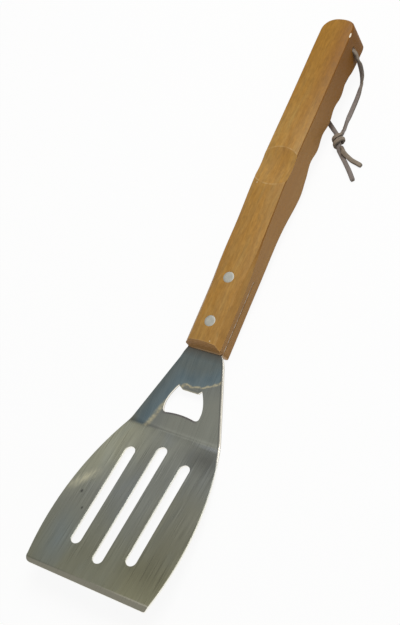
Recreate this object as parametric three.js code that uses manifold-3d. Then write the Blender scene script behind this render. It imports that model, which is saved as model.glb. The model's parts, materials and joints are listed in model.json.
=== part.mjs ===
// Barbecue spatula: a slotted steel blade with a bottle opener in its neck, a full-width tang
// let into a saw kerf of a wooden handle, two cutler's rivets, and a leather hanging lace.
//
// The tool is drawn in its own frame and then laid on a table. In the tool's frame the handle
// runs along X with its front end at 0 and the blade at +X, Z = 0 is the middle of the tang,
// and Y is across. At rest it stands on the heel of the blade and on the handle's front edge.
import * as THREE from "three";
import { mergeVertices } from "three/addons/utils/BufferGeometryUtils.js";
import Module from "manifold-3d";

const wasm = await Module();
wasm.setup();

// Steel sheet, in millimetres and degrees
const SHEET = 2.0;
const NECK_LENGTH = 60;
const BLADE_LENGTH = 119.5;
const NECK_DROOP = 4.3;
const DROOP_RADIUS = 60;
const BLADE_RISE = 18.6;
const RISE_RADIUS = 16;
const SHOULDER_LENGTH = 8;
const SHOULDER_HALF = 18;
const HEEL_HALF = 37;
const BELLY_HALF = 53.4;
const BELLY_AT = 80;
const TIP_HALF = 49.4;
const TIP_CORNER = 1.6;
const TIP_GRIND = 3.0;
const TIP_EDGE = 0.9;

// Drain slots in the blade, measured from the bend to the centres of their round ends
const SLOT_WIDTH = 7.8;
const SLOT_PITCH = 22.8;
const OUTER_SLOT = [22.7, 93.5];
const MIDDLE_SLOT = [16.0, 100.0];

// Bottle opener in the neck, measured from the handle's front end
const OPENER_TOP = 27.4;
const OPENER_BOTTOM = 48.0;
const OPENER_TOP_HALF = 9.7;
const OPENER_BOTTOM_HALF = 15.2;
const OPENER_BOW = 1.9;
const OPENER_BULGE = 1.1;
const OPENER_CORNER = 3.4;
const LIP_LENGTH = 2.4;
const LIP_HALF = 6.3;
const LIP_DROP = 1.3;
const LIP_ROOT = 0.8;

// Wooden handle, with stations measured back from its front end
const HANDLE_LENGTH = 267.7;
const FRONT_WIDTH = 28.8;
const GRIP_WIDTH = 26.4;
const DRAW_IN = 42;
// Height of the top face's edges over the tang, and depth of the belly under it, at stations
const TOP_HEIGHTS = [
  [0, 8.9], [60, 8.9], [84, 9.0], [104, 9.7], [124, 10.8], [140, 10.9], [166, 10.1], [208, 8.8], [268, 7.8],
];
const BELLY_DEPTHS = [
  [0, 10.0], [60, 9.8], [90, 11.2], [120, 12.6], [150, 13.1], [190, 13.9], [240, 14.8], [268, 14.9],
];
const CROWN = 1.3;
const EDGE_ROUND_FRONT = 3.6;
const EDGE_ROUND_REAR = 0.9;
const EDGE_ROUND_SPAN = [46, 84];
const BELLY_ROUND = 1.5;
const GUARD_AT = 133;
const GUARD_RISE = 3.6;
const GUARD_FRONT = 20;
const GUARD_REAR = 12;
const FINGERS = 4;
const FINGER_START = 158.5;
const FINGER_PITCH = 23.2;
const FINGER_DEPTH = 2.2;
const THUMB_AT = 142.6;
const THUMB_LENGTH = 31.5;
const THUMB_DEPTH = 2.6;
const FRONT_LAND = 0.35;
const FRONT_BEVEL_BACK = 5.6;
const FRONT_SWELL_BACK = 1.4;
const FRONT_SWELL_UP = 6.6;
const FRONT_ROUND = 2.6;
const BUTT_ROUND = 10;
const BUTT_END_ROUND = 2.5;
const LACE_HOLE = 5.0;
const LACE_HOLE_FROM_BUTT = 16.9;
const LACE_HOLE_DROP = 3.8;

// Tang, kerf and rivets
const TANG_LENGTH = 66;
const TANG_CORNER = 9;
const TANG_SETBACK = 0.15;
const KERF_CLEARANCE = 0.25;
const RIVET_STATIONS = [19.3, 53.0];
const RIVET_HEAD = 8.2;
const RIVET_HEAD_THICK = 1.4;
const RIVET_DOME = 0.35;
const RIVET_SOCKET = 5.4;
const RIVET_POST = 3.2;
const RIVET_CLEARANCE = 0.3;
const RIVET_END_GAP = 1.2;

// Leather lace, tied in a loop through the hole in the butt
const LACE = 3.2;
const LACE_SIDES = 8;
const LACE_STEP = 1.5 * LACE;
const LACE_GAP = 0.4;
const TABLE_GAP = 0.1;
const KNOT_HALF_LENGTH = 6.0;
const KNOT_ENTRY = 1.7;
const KNOT_RADIUS = 3.4;
const KNOT_CORE = 3.9;
const KNOT_BACKTRACK = 3.2;
const KNOT_FLATTEN = 0.78;
const KNOT_TURN = 23;
const KNOT_STEPS = 30;
const KNOT_CORE_SIDES = 20;
// The knot's centre: forward of the hole, out from the handle's middle
const KNOT_PLACE = [66.2, 22.0];

// The lace starts to bend a little inside the mouth of its hole, and leaves it down and forward
const MOUTH_INSET = 2.6;
const MOUTH_BEND = 2 * LACE;
const MOUTH_STEPS = 4;
const LEAVE_SLOPE = 0.4;

// Route of each leg from there: forward of the hole, out from the handle's middle, and height
// above the table as a share of the hole's height
const RIGHT_LEG = [
  [4.4, 17.0, 0.54], [5.8, 17.0, 0.34], [7.8, 17.1, 0.17], [11, 17.3, 0.05], [15.5, 17.8, 0],
  [21, 18.6, 0], [28, 19.2, 0], [36, 19.5, 0], [45, 19.8, 0], [52, 20.2, 0.02],
];
const LEFT_LEG = [
  [4.6, -17.0, 0.54], [6.6, -17.0, 0.34], [9.6, -16.9, 0.17], [14, -16.4, 0.05], [19, -15.2, 0],
  [25, -12.8, 0], [32, -9.2, 0], [39.5, -4.6, 0], [46.5, 0.9, 0], [52, 7.0, 0], [56, 12.0, 0.02],
];
const RIGHT_TAIL = [[73.8, 29.9, 0.04], [76.6, 34.6, 0], [79.6, 40.4, 0], [82.2, 46.2, 0]];
const LEFT_TAIL = [[77.8, 27.8, 0.04], [82.4, 33.2, 0], [88.2, 39.9, 0], [94.4, 45.2, 0]];

// Finishes
const steel = new THREE.MeshStandardMaterial({ color: 0x9d9d96, roughness: 0.34, metalness: 1.0 });
const wood = new THREE.MeshStandardMaterial({ color: 0xa57c43, roughness: 0.55, metalness: 0.0 });
const rivetMetal = new THREE.MeshStandardMaterial({ color: 0xb4b3ab, roughness: 0.42, metalness: 1.0 });
const leather = new THREE.MeshStandardMaterial({ color: 0x8f8577, roughness: 0.85, metalness: 0.0 });

// Fineness of the facets
const WELD = 1e-3;
const SHEET_SEGMENTS = 8;
const DROOP_STEPS = 2;
const RISE_STEPS = 6;
const ROUND_STEPS = 4;
const CROWN_STEPS = 3;
const FRONT_STEP = 7;
const GRIP_START = 90;
const FINGER_STEPS = 8;
const BUTT_STEPS = 8;
const THUMB_SEGMENTS = 180;
const HOLE_SIDES = 24;

const { degToRad: rad, lerp, smoothstep } = THREE.MathUtils;
const TANG_HALF = FRONT_WIDTH / 2 - TANG_SETBACK;

// Solids: a closed geometry becomes a solid for joining and cutting, and comes back as a geometry
function solid(geometry) {
  const bare = geometry.clone();
  bare.deleteAttribute("normal");
  bare.deleteAttribute("uv");
  const merged = mergeVertices(bare, 1e-4);
  const corners = Array.from(merged.index.array);
  const kept = corners.filter((corner, i) => {
    const [a, b, c] = corners.slice(i - (i % 3), i - (i % 3) + 3);
    return a !== b && b !== c && c !== a;
  });
  const vertProperties = new Float32Array(merged.attributes.position.array);
  const triVerts = new Uint32Array(kept);
  return new wasm.Manifold(new wasm.Mesh({ numProp: 3, vertProperties, triVerts }));
}

function geometryOf(body) {
  const mesh = body.getMesh();
  const geometry = new THREE.BufferGeometry();
  const points = new Float32Array(mesh.numVert * 3);
  for (let i = 0; i < mesh.numVert; i += 1) {
    for (let k = 0; k < 3; k += 1) {
      points[3 * i + k] = mesh.vertProperties[i * mesh.numProp + k];
    }
  }
  geometry.setAttribute("position", new THREE.BufferAttribute(points, 3));
  geometry.setIndex(Array.from(mesh.triVerts));
  geometry.computeVertexNormals();
  return geometry;
}

// A shape drawn in X and Y, given a thickness in Z from low to high
function plate(shape, low, high, curveSegments = 16) {
  const options = { depth: high - low, bevelEnabled: false, curveSegments };
  return new THREE.ExtrudeGeometry(shape, options).translate(0, 0, low);
}

// A shape drawn in X and Z, run across the tool in Y
function across(shape, halfWidth, curveSegments = 16) {
  const geometry = plate(shape, -halfWidth, halfWidth, curveSegments);
  return geometry.rotateX(Math.PI / 2);
}

function upright(radius, low, high) {
  const geometry = new THREE.CylinderGeometry(radius, radius, high - low, HOLE_SIDES);
  return geometry.rotateX(Math.PI / 2).translate(0, 0, (low + high) / 2);
}

// A smooth line through a few stations, flat beyond its ends
function smoothLine(keys) {
  const slopes = keys.map((key, i) => {
    const before = keys[Math.max(i - 1, 0)];
    const after = keys[Math.min(i + 1, keys.length - 1)];
    return (after[1] - before[1]) / (after[0] - before[0]);
  });
  return (s) => {
    if (s <= keys[0][0]) return keys[0][1];
    const i = keys.findIndex((key) => key[0] >= s);
    if (i < 0) return keys[keys.length - 1][1];
    const span = keys[i][0] - keys[i - 1][0];
    const t = (s - keys[i - 1][0]) / span;
    const rise = (3 - 2 * t) * t * t;
    const leave = t * (1 - t) * (1 - t) * span * slopes[i - 1];
    const arrive = t * t * (t - 1) * span * slopes[i];
    return keys[i - 1][1] * (1 - rise) + keys[i][1] * rise + leave + arrive;
  };
}

// Flat pattern of the sheet, with the tang at -X and the blade at +X

// The blade's side is the circle through the heel, the belly and the tip corner
function sideCircle() {
  const [ax, ay] = [NECK_LENGTH, HEEL_HALF];
  const [bx, by] = [NECK_LENGTH + BELLY_AT, BELLY_HALF];
  const [cx, cy] = [NECK_LENGTH + BLADE_LENGTH, TIP_HALF];
  const d = 2 * (ax * (by - cy) + bx * (cy - ay) + cx * (ay - by));
  const a2 = ax * ax + ay * ay;
  const b2 = bx * bx + by * by;
  const c2 = cx * cx + cy * cy;
  const x = (a2 * (by - cy) + b2 * (cy - ay) + c2 * (ay - by)) / d;
  const y = (a2 * (cx - bx) + b2 * (ax - cx) + c2 * (bx - ax)) / d;
  return { x, y, radius: Math.hypot(ax - x, ay - y) };
}

function tangEnd(shape, length, half, corner) {
  shape.lineTo(-length + corner, -half);
  shape.absarc(-length + corner, -half + corner, corner, -Math.PI / 2, -Math.PI, true);
  shape.lineTo(-length, half - corner);
  shape.absarc(-length + corner, half - corner, corner, Math.PI, Math.PI / 2, true);
}

function slot([from, to], y) {
  const half = SLOT_WIDTH / 2;
  const path = new THREE.Path();
  path.absarc(NECK_LENGTH + to, y, half, -Math.PI / 2, Math.PI / 2, false);
  path.absarc(NECK_LENGTH + from, y, half, Math.PI / 2, 1.5 * Math.PI, false);
  path.closePath();
  return path;
}

// The opener: a lip between two pockets at the top, bowed sides, and a foot that bulges up
function openerHole() {
  const lipEdge = OPENER_TOP + LIP_LENGTH;
  const middle = (OPENER_TOP + OPENER_BOTTOM) / 2;
  const sideHalf = (OPENER_TOP_HALF + OPENER_BOTTOM_HALF) / 2 + 2 * OPENER_BOW;
  const foot = OPENER_BOTTOM - OPENER_CORNER;
  const inner = OPENER_BOTTOM_HALF - OPENER_CORNER;
  const path = new THREE.Path();
  path.moveTo(lipEdge, LIP_HALF);
  path.lineTo(lipEdge, -LIP_HALF);
  path.lineTo(OPENER_TOP, -OPENER_TOP_HALF);
  path.quadraticCurveTo(middle, -sideHalf, foot, -OPENER_BOTTOM_HALF);
  path.quadraticCurveTo(OPENER_BOTTOM, -OPENER_BOTTOM_HALF, OPENER_BOTTOM, -inner);
  path.quadraticCurveTo(OPENER_BOTTOM - 2 * OPENER_BULGE, 0, OPENER_BOTTOM, inner);
  path.quadraticCurveTo(OPENER_BOTTOM, OPENER_BOTTOM_HALF, foot, OPENER_BOTTOM_HALF);
  path.quadraticCurveTo(middle, sideHalf, OPENER_TOP, OPENER_TOP_HALF);
  path.closePath();
  return path;
}

function sheetPattern() {
  const tip = NECK_LENGTH + BLADE_LENGTH;
  const circle = sideCircle();
  const start = Math.atan2(HEEL_HALF - circle.y, NECK_LENGTH - circle.x);
  const cornerX = tip - TIP_CORNER;
  const end = Math.acos((cornerX - circle.x) / circle.radius);
  const cornerY = circle.y + circle.radius * Math.sin(end);
  const shape = new THREE.Shape();
  shape.moveTo(SHOULDER_LENGTH, SHOULDER_HALF);
  shape.lineTo(NECK_LENGTH, HEEL_HALF);
  shape.absarc(circle.x, circle.y, circle.radius, start, end, true);
  shape.quadraticCurveTo(tip, cornerY, tip, cornerY - TIP_CORNER);
  shape.lineTo(tip, -cornerY + TIP_CORNER);
  shape.quadraticCurveTo(tip, -cornerY, cornerX, -cornerY);
  shape.absarc(circle.x, -circle.y, circle.radius, -end, -start, true);
  shape.lineTo(SHOULDER_LENGTH, -SHOULDER_HALF);
  const [turnX, turnY] = [SHOULDER_LENGTH / 3, (TANG_HALF + SHOULDER_HALF) / 2];
  shape.quadraticCurveTo(turnX, -turnY, KERF_CLEARANCE, -TANG_HALF);
  tangEnd(shape, TANG_LENGTH, TANG_HALF, TANG_CORNER);
  shape.lineTo(KERF_CLEARANCE, TANG_HALF);
  shape.quadraticCurveTo(turnX, turnY, SHOULDER_LENGTH, SHOULDER_HALF);
  const outer = [SLOT_PITCH, -SLOT_PITCH].map((y) => slot(OUTER_SLOT, y));
  shape.holes.push(slot(MIDDLE_SLOT, 0), ...outer, openerHole());
  for (const station of RIVET_STATIONS) {
    const hole = new THREE.Path();
    hole.absarc(-station, 0, RIVET_SOCKET / 2 + RIVET_CLEARANCE, 0, 2 * Math.PI, false);
    shape.holes.push(hole);
  }
  return shape;
}

// The sheet's middle line in the side view: straight tang, droop, straight neck, rise, straight blade
const droopLength = DROOP_RADIUS * rad(NECK_DROOP);
const riseLength = RISE_RADIUS * rad(BLADE_RISE);
const SIDE_LINE = [
  { length: droopLength, turn: -rad(NECK_DROOP) },
  { length: NECK_LENGTH - droopLength - riseLength / 2, turn: 0 },
  { length: riseLength, turn: rad(BLADE_RISE) },
  { length: BLADE_LENGTH, turn: 0 },
];

// Where a point of the flat sheet lies once the sheet is bent
function bent(along, y, z) {
  let left = along;
  let heading = 0;
  const at = new THREE.Vector2(Math.min(along, 0), 0);
  for (const { length, turn } of SIDE_LINE) {
    const go = Math.min(Math.max(left, 0), length);
    const bend = turn * (go / length);
    const chord = turn === 0 ? go : 2 * (length / turn) * Math.sin(bend / 2);
    at.x += chord * Math.cos(heading + bend / 2);
    at.y += chord * Math.sin(heading + bend / 2);
    heading += bend;
    left -= go;
  }
  return new THREE.Vector3(at.x - z * Math.sin(heading), y, at.y + z * Math.cos(heading));
}

function bladeGeometry() {
  const tip = NECK_LENGTH + BLADE_LENGTH;
  const grind = new THREE.Shape();
  grind.moveTo(tip - TIP_GRIND, SHEET / 2);
  grind.lineTo(tip + TIP_GRIND, SHEET / 2 - 2 * (SHEET - TIP_EDGE));
  grind.lineTo(tip + TIP_GRIND, SHEET);
  grind.lineTo(tip - TIP_GRIND, SHEET);
  grind.closePath();
  const pattern = solid(plate(sheetPattern(), -SHEET / 2, SHEET / 2, SHEET_SEGMENTS));
  const flat = pattern.subtract(solid(across(grind, 2 * TIP_HALF)));
  const lipRoot = OPENER_TOP - LIP_ROOT;
  const stations = [lipRoot];
  for (let i = 0; i <= DROOP_STEPS; i += 1) stations.push((droopLength * i) / DROOP_STEPS);
  const riseStart = NECK_LENGTH - riseLength / 2;
  for (let i = 0; i <= RISE_STEPS; i += 1) stations.push(riseStart + (riseLength * i) / RISE_STEPS);
  stations.sort((p, q) => p - q);
  let sheet = null;
  for (let k = 0; k <= stations.length; k += 1) {
    const [from, to] = [stations[k - 1] ?? -2 * TANG_LENGTH, stations[k] ?? 2 * tip];
    const strip = geometryOf(flat.trimByPlane([1, 0, 0], from).trimByPlane([-1, 0, 0], -to));
    const points = strip.attributes.position;
    for (let i = 0; i < points.count; i += 1) {
      const [x, y, z] = [points.getX(i), points.getY(i), points.getZ(i)];
      const lipLong = x > OPENER_TOP && x < OPENER_TOP + LIP_LENGTH + WELD;
      const onLip = lipLong && Math.abs(y) < LIP_HALF + WELD;
      points.setXYZ(i, ...bent(x, y, onLip ? z - LIP_DROP : z));
    }
    sheet = sheet ? sheet.add(solid(strip)) : solid(strip);
  }
  return geometryOf(sheet);
}

// Handle: cross-sections lofted from the front end to the butt, then cut
const topHeight = smoothLine(TOP_HEIGHTS);
const bellyDepth = smoothLine(BELLY_DEPTHS);

// How far a rounded end draws the outline in, at a distance from that end
function endRound(distance, radius) {
  const d = Math.min(Math.max(distance, 0), radius);
  return radius - Math.sqrt(radius * radius - (radius - d) * (radius - d));
}

function undersideHeight(s) {
  const spread = s < GUARD_AT ? GUARD_FRONT : GUARD_REAR;
  const guard = GUARD_RISE * Math.exp(-(((s - GUARD_AT) / spread) ** 2));
  const turn = (s - FINGER_START) / FINGER_PITCH;
  const inFingers = turn > -0.5 && turn < FINGERS - 0.5;
  const groove = inFingers ? FINGER_DEPTH * Math.cos(Math.PI * turn) ** 2 : 0;
  const ends = endRound(s, FRONT_ROUND) + endRound(HANDLE_LENGTH - s, BUTT_END_ROUND);
  return -bellyDepth(s) - guard + groove + ends;
}

// The sides run parallel beside the tang, then draw in to the grip
function sideHalf(s) {
  const from = TANG_LENGTH - TANG_CORNER;
  return lerp(FRONT_WIDTH, GRIP_WIDTH, smoothstep(s, from, from + DRAW_IN)) / 2;
}

function handleSection(s) {
  const side = sideHalf(s);
  const half = side - endRound(s, FRONT_ROUND) - endRound(HANDLE_LENGTH - s, BUTT_ROUND);
  const top = topHeight(s) - endRound(HANDLE_LENGTH - s, EDGE_ROUND_REAR);
  const bottom = undersideHeight(s);
  const crisp = smoothstep(s, ...EDGE_ROUND_SPAN);
  const edge = Math.min(lerp(EDGE_ROUND_FRONT, EDGE_ROUND_REAR, crisp), half / 2);
  const belly = Math.min(BELLY_ROUND, half / 2);
  const crown = (y) => CROWN * (1 - (y / side) ** 2);
  const right = [];
  for (let i = 0; i <= ROUND_STEPS; i += 1) {
    const a = (Math.PI / 2 / ROUND_STEPS) * i;
    right.push([half - belly + belly * Math.sin(a), bottom + belly - belly * Math.cos(a)]);
  }
  for (let i = 0; i <= ROUND_STEPS; i += 1) {
    const a = (Math.PI / 2 / ROUND_STEPS) * i;
    const y = half - edge + edge * Math.cos(a);
    right.push([y, top - edge + edge * Math.sin(a) + crown(y)]);
  }
  for (let i = CROWN_STEPS - 1; i > 0; i -= 1) {
    const y = ((half - edge) * i) / CROWN_STEPS;
    right.push([y, top + crown(y)]);
  }
  const left = right.map(([y, z]) => [-y, z]).reverse();
  return [...right, [0, top + crown(0)], ...left];
}

function handleStations() {
  const stations = [];
  for (let i = 0; i <= ROUND_STEPS; i += 1) {
    stations.push(FRONT_ROUND * (1 - Math.cos((Math.PI / 2 / ROUND_STEPS) * i)));
  }
  for (let s = FRONT_STEP; s < GRIP_START; s += FRONT_STEP) stations.push(s);
  const fine = FINGER_PITCH / FINGER_STEPS;
  for (let s = GRIP_START; s < HANDLE_LENGTH - BUTT_ROUND - fine / 2; s += fine) stations.push(s);
  for (let i = 0; i <= BUTT_STEPS; i += 1) {
    stations.push(HANDLE_LENGTH - BUTT_ROUND * (1 - Math.sin((Math.PI / 2 / BUTT_STEPS) * i)));
  }
  return stations;
}

function loft(sections) {
  const count = sections[0].length;
  const points = sections.flat();
  const index = [];
  for (let i = 0; i + 1 < sections.length; i += 1) {
    for (let j = 0; j < count; j += 1) {
      const a = i * count + j;
      const b = i * count + ((j + 1) % count);
      index.push(a, b + count, b, a, a + count, b + count);
    }
  }
  const last = (sections.length - 1) * count;
  for (let j = 1; j + 1 < count; j += 1) {
    index.push(0, j, j + 1, last, last + j + 1, last + j);
  }
  const geometry = new THREE.BufferGeometry();
  geometry.setAttribute("position", new THREE.Float32BufferAttribute(points.flat(), 3));
  geometry.setIndex(index);
  return geometry;
}

const holePlace = new THREE.Vector3(-HANDLE_LENGTH + LACE_HOLE_FROM_BUTT, 0, -LACE_HOLE_DROP);

function handleGeometry() {
  const sections = handleStations().map((s) => handleSection(s).map(([y, z]) => [-s, y, z]));
  let body = solid(loft(sections));
  // The front end leans back above the tang
  const crownTop = topHeight(0) + CROWN;
  const foot = SHEET / 2 + KERF_CLEARANCE + FRONT_LAND;
  const bevel = new THREE.Shape();
  bevel.moveTo(FRONT_BEVEL_BACK, foot);
  bevel.lineTo(0, foot);
  bevel.quadraticCurveTo(-FRONT_SWELL_BACK, FRONT_SWELL_UP, -FRONT_BEVEL_BACK, crownTop);
  bevel.lineTo(-2 * FRONT_BEVEL_BACK, 2 * crownTop);
  bevel.lineTo(FRONT_BEVEL_BACK, 2 * crownTop);
  bevel.closePath();
  body = body.subtract(solid(across(bevel, FRONT_WIDTH, SHEET_SEGMENTS)));
  // Thumb rest: a shallow round hollow across the top
  const sweep = (THUMB_LENGTH * THUMB_LENGTH) / 4 + THUMB_DEPTH * THUMB_DEPTH;
  const thumbRadius = sweep / (2 * THUMB_DEPTH);
  const thumb = new THREE.CylinderGeometry(thumbRadius, thumbRadius, 2 * GRIP_WIDTH, THUMB_SEGMENTS);
  thumb.translate(-THUMB_AT, 0, topHeight(THUMB_AT) + CROWN - THUMB_DEPTH + thumbRadius);
  body = body.subtract(solid(thumb));
  // Saw kerf that takes the tang
  const kerf = new THREE.Shape();
  const kerfHalf = TANG_HALF + KERF_CLEARANCE + TANG_SETBACK;
  kerf.moveTo(FRONT_WIDTH, -FRONT_WIDTH);
  kerf.lineTo(-TANG_LENGTH + TANG_CORNER, -FRONT_WIDTH);
  tangEnd(kerf, TANG_LENGTH + KERF_CLEARANCE, kerfHalf, TANG_CORNER);
  kerf.lineTo(-TANG_LENGTH + TANG_CORNER, FRONT_WIDTH);
  kerf.lineTo(FRONT_WIDTH, FRONT_WIDTH);
  kerf.closePath();
  const kerfHigh = SHEET / 2 + KERF_CLEARANCE;
  body = body.subtract(solid(plate(kerf, -kerfHigh, kerfHigh)));
  // Rivet holes with flat seats for the heads
  for (const station of RIVET_STATIONS) {
    const { top, bottom } = rivetSpan(station);
    const reach = RIVET_HEAD;
    const seat = RIVET_HEAD / 2 + RIVET_CLEARANCE;
    const cuts = [
      upright(RIVET_SOCKET / 2 + RIVET_CLEARANCE, bottom - reach, top + reach),
      upright(seat, top - RIVET_HEAD_THICK - RIVET_CLEARANCE, top + reach),
      upright(seat, bottom - reach, bottom + RIVET_HEAD_THICK + RIVET_CLEARANCE),
    ];
    for (const cut of cuts) body = body.subtract(solid(cut.translate(-station, 0, 0)));
  }
  // Cross hole for the lace
  const hole = new THREE.CylinderGeometry(LACE_HOLE / 2, LACE_HOLE / 2, 2 * GRIP_WIDTH, HOLE_SIDES);
  body = body.subtract(solid(hole.translate(holePlace.x, holePlace.y, holePlace.z)));
  return geometryOf(body);
}

// Cutler's rivets: a socket from the top and a post from below, with flush heads
function rivetSpan(station) {
  return { top: topHeight(station) + CROWN, bottom: undersideHeight(station) };
}

function lathed(profile, station) {
  const points = profile.map(([r, z]) => new THREE.Vector2(r, z));
  return new THREE.LatheGeometry(points, HOLE_SIDES).rotateX(Math.PI / 2).translate(-station, 0, 0);
}

function socketGeometry(station) {
  const { top, bottom } = rivetSpan(station);
  const seat = top - RIVET_HEAD_THICK;
  const mouth = bottom + RIVET_HEAD_THICK + RIVET_END_GAP;
  const bore = RIVET_POST / 2 + RIVET_CLEARANCE;
  return lathed([
    [0, seat], [bore, seat - RIVET_POST / 2], [bore, mouth], [RIVET_SOCKET / 2, mouth],
    [RIVET_SOCKET / 2, seat], [RIVET_HEAD / 2, seat], [RIVET_HEAD / 2, top - RIVET_DOME / 2],
    [RIVET_HEAD / 2 - RIVET_DOME, top], [RIVET_HEAD / 4, top + RIVET_DOME / 2], [0, top + RIVET_DOME],
  ], station);
}

function postGeometry(station) {
  const { top, bottom } = rivetSpan(station);
  const seat = bottom + RIVET_HEAD_THICK;
  const point = top - RIVET_HEAD_THICK - RIVET_POST / 2 - RIVET_END_GAP;
  return lathed([
    [0, bottom], [RIVET_HEAD / 2 - RIVET_DOME, bottom], [RIVET_HEAD / 2, bottom + RIVET_DOME / 2],
    [RIVET_HEAD / 2, seat], [RIVET_POST / 2, seat], [RIVET_POST / 2, point - RIVET_DOME],
    [RIVET_POST / 2 - RIVET_DOME, point], [0, point],
  ], station);
}

// Lace: tubes that lie on the table, in the frame of the laid tool
function tube(points) {
  const curve = new THREE.CatmullRomCurve3(points, false, "centripetal");
  const section = new THREE.Shape();
  for (let i = 0; i < LACE_SIDES; i += 1) {
    const a = (2 * Math.PI * (i + 0.5)) / LACE_SIDES;
    const corner = [(LACE / 2) * Math.cos(a), (LACE / 2) * Math.sin(a)];
    if (i === 0) section.moveTo(...corner);
    else section.lineTo(...corner);
  }
  section.closePath();
  const steps = Math.max(4, Math.round(curve.getLength() / LACE_STEP));
  return new THREE.ExtrudeGeometry(section, { steps, extrudePath: curve, bevelEnabled: false });
}

// One strand's way through the knot: in beside the other strand, once round both, and out
function knotPoint(strand, t) {
  const turn = 2 * Math.PI * t + strand * Math.PI;
  const radius = KNOT_ENTRY + (KNOT_RADIUS - KNOT_ENTRY) * Math.sin(Math.PI * t);
  const local = new THREE.Vector3(
    KNOT_HALF_LENGTH * (2 * t - 1) + KNOT_BACKTRACK * Math.sin(2 * Math.PI * t),
    radius * Math.cos(turn),
    radius * Math.sin(turn) * KNOT_FLATTEN,
  );
  return local.applyAxisAngle(new THREE.Vector3(0, 0, 1), rad(KNOT_TURN));
}

function knotSolid() {
  const core = new THREE.SphereGeometry(1, KNOT_CORE_SIDES, KNOT_CORE_SIDES / 2);
  core.scale(KNOT_HALF_LENGTH, KNOT_CORE, KNOT_CORE * KNOT_FLATTEN).rotateZ(rad(KNOT_TURN));
  let knot = solid(core);
  for (const strand of [0, 1]) {
    const route = [];
    for (let i = 0; i <= KNOT_STEPS; i += 1) route.push(knotPoint(strand, i / KNOT_STEPS));
    knot = knot.add(solid(tube(route)));
  }
  return knot;
}

function laceGeometries(hole) {
  const low = LACE / 2 + TABLE_GAP;
  const height = (share) => low + share * (hole.z - low);
  const at = ([forward, out, share]) => new THREE.Vector3(hole.x + forward, out, height(share));
  const knot = knotSolid();
  const lift = TABLE_GAP - knot.boundingBox().min[2];
  const centre = new THREE.Vector3(hole.x + KNOT_PLACE[0], KNOT_PLACE[1], lift);
  const start = GRIP_WIDTH / 2 - MOUTH_INSET;
  const leave = new THREE.Vector3(LEAVE_SLOPE, 0, -1).normalize();
  const mouth = (side) => {
    const lace = (y) => new THREE.Vector3(hole.x, side * y, hole.z + (LACE_HOLE - LACE) / 6);
    const points = [lace(LACE_GAP / 2), lace(start / 2)];
    for (let i = 0; i <= MOUTH_STEPS; i += 1) {
      const a = (Math.PI / 2 / MOUTH_STEPS) * i;
      const drop = MOUTH_BEND * (1 - Math.cos(a));
      points.push(lace(start + MOUTH_BEND * Math.sin(a)).addScaledVector(leave, drop));
    }
    return points;
  };
  // A point on a strand's own line, a little before it enters the knot or after it leaves
  const onLine = (strand, t, gap) => {
    const step = 1 / KNOT_STEPS / 4;
    const heading = knotPoint(strand, t + step).sub(knotPoint(strand, t - step)).normalize();
    return knotPoint(strand, t).addScaledVector(heading, gap).add(centre);
  };
  const before = (strand, gap) => onLine(strand, 0, -gap);
  const after = (strand, gap) => onLine(strand, 1, gap);
  return {
    lace_right_leg: tube([...mouth(1), ...RIGHT_LEG.map(at), before(0, LACE), before(0, LACE_GAP)]),
    lace_left_leg: tube([...mouth(-1), ...LEFT_LEG.map(at), before(1, LACE), before(1, LACE_GAP)]),
    lace_knot: geometryOf(knot).translate(centre.x, centre.y, centre.z),
    lace_right_tail: tube([after(0, LACE_GAP), after(0, LACE), ...RIGHT_TAIL.map(at)]),
    lace_left_tail: tube([after(1, LACE_GAP), after(1, LACE), ...LEFT_TAIL.map(at)]),
  };
}

// The assembly
function piece(name, geometry, material) {
  const mesh = new THREE.Mesh(geometry, material);
  mesh.name = name;
  return mesh;
}

// The tilt at which the blade's heel and the handle's front edge both touch the table
function restTilt(tool) {
  const corners = [];
  const v = new THREE.Vector3();
  tool.children.forEach((mesh) => {
    const points = mesh.geometry.attributes.position;
    for (let i = 0; i < points.count; i += 1) corners.push(v.fromBufferAttribute(points, i).clone());
  });
  let tilt = 0;
  for (let round = 0; round < 8; round += 1) {
    const height = (p) => p.z * Math.cos(tilt) - p.x * Math.sin(tilt);
    const lowest = (list) => list.reduce((best, p) => (height(p) < height(best) ? p : best));
    const heel = lowest(corners.filter((p) => p.x > NECK_LENGTH / 2));
    const front = lowest(corners.filter((p) => p.x <= 0 && p.x > -NECK_LENGTH));
    tilt = Math.atan2(heel.z - front.z, heel.x - front.x);
  }
  return tilt;
}

const tool = new THREE.Group();
tool.add(piece("blade", bladeGeometry(), steel));
tool.add(piece("handle", handleGeometry(), wood));
["front", "rear"].forEach((which, i) => {
  tool.add(piece(`${which}_rivet_socket`, socketGeometry(RIVET_STATIONS[i]), rivetMetal));
  tool.add(piece(`${which}_rivet_post`, postGeometry(RIVET_STATIONS[i]), rivetMetal));
});
tool.rotation.y = restTilt(tool);

// The origin is under the middle of the tool, on the table
const box = new THREE.Box3().setFromObject(tool, true);
const middle = box.getCenter(new THREE.Vector3());
tool.position.set(-middle.x, -middle.y, -box.min.z);
tool.updateMatrixWorld(true);

const spatula = new THREE.Group();
spatula.add(tool);
const laces = laceGeometries(tool.localToWorld(holePlace.clone()));
for (const [name, geometry] of Object.entries(laces)) spatula.add(piece(name, geometry, leather));

export default spatula;
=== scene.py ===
# %% [markdown]
# Barbecue spatula. A stamped steel blade runs back as a tang into a saw cut in a wooden handle,
# two flush rivets hold it there, and a leather lace hangs from a hole in the butt. The solids of
# the part come in as a fixed frame. Each visible piece is modelled again here, finer, in the same
# place, and gets the finish of the real material.

# %% Load the frame
import json
import math

import bpy
from mathutils import Matrix, Quaternion, Vector


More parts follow.
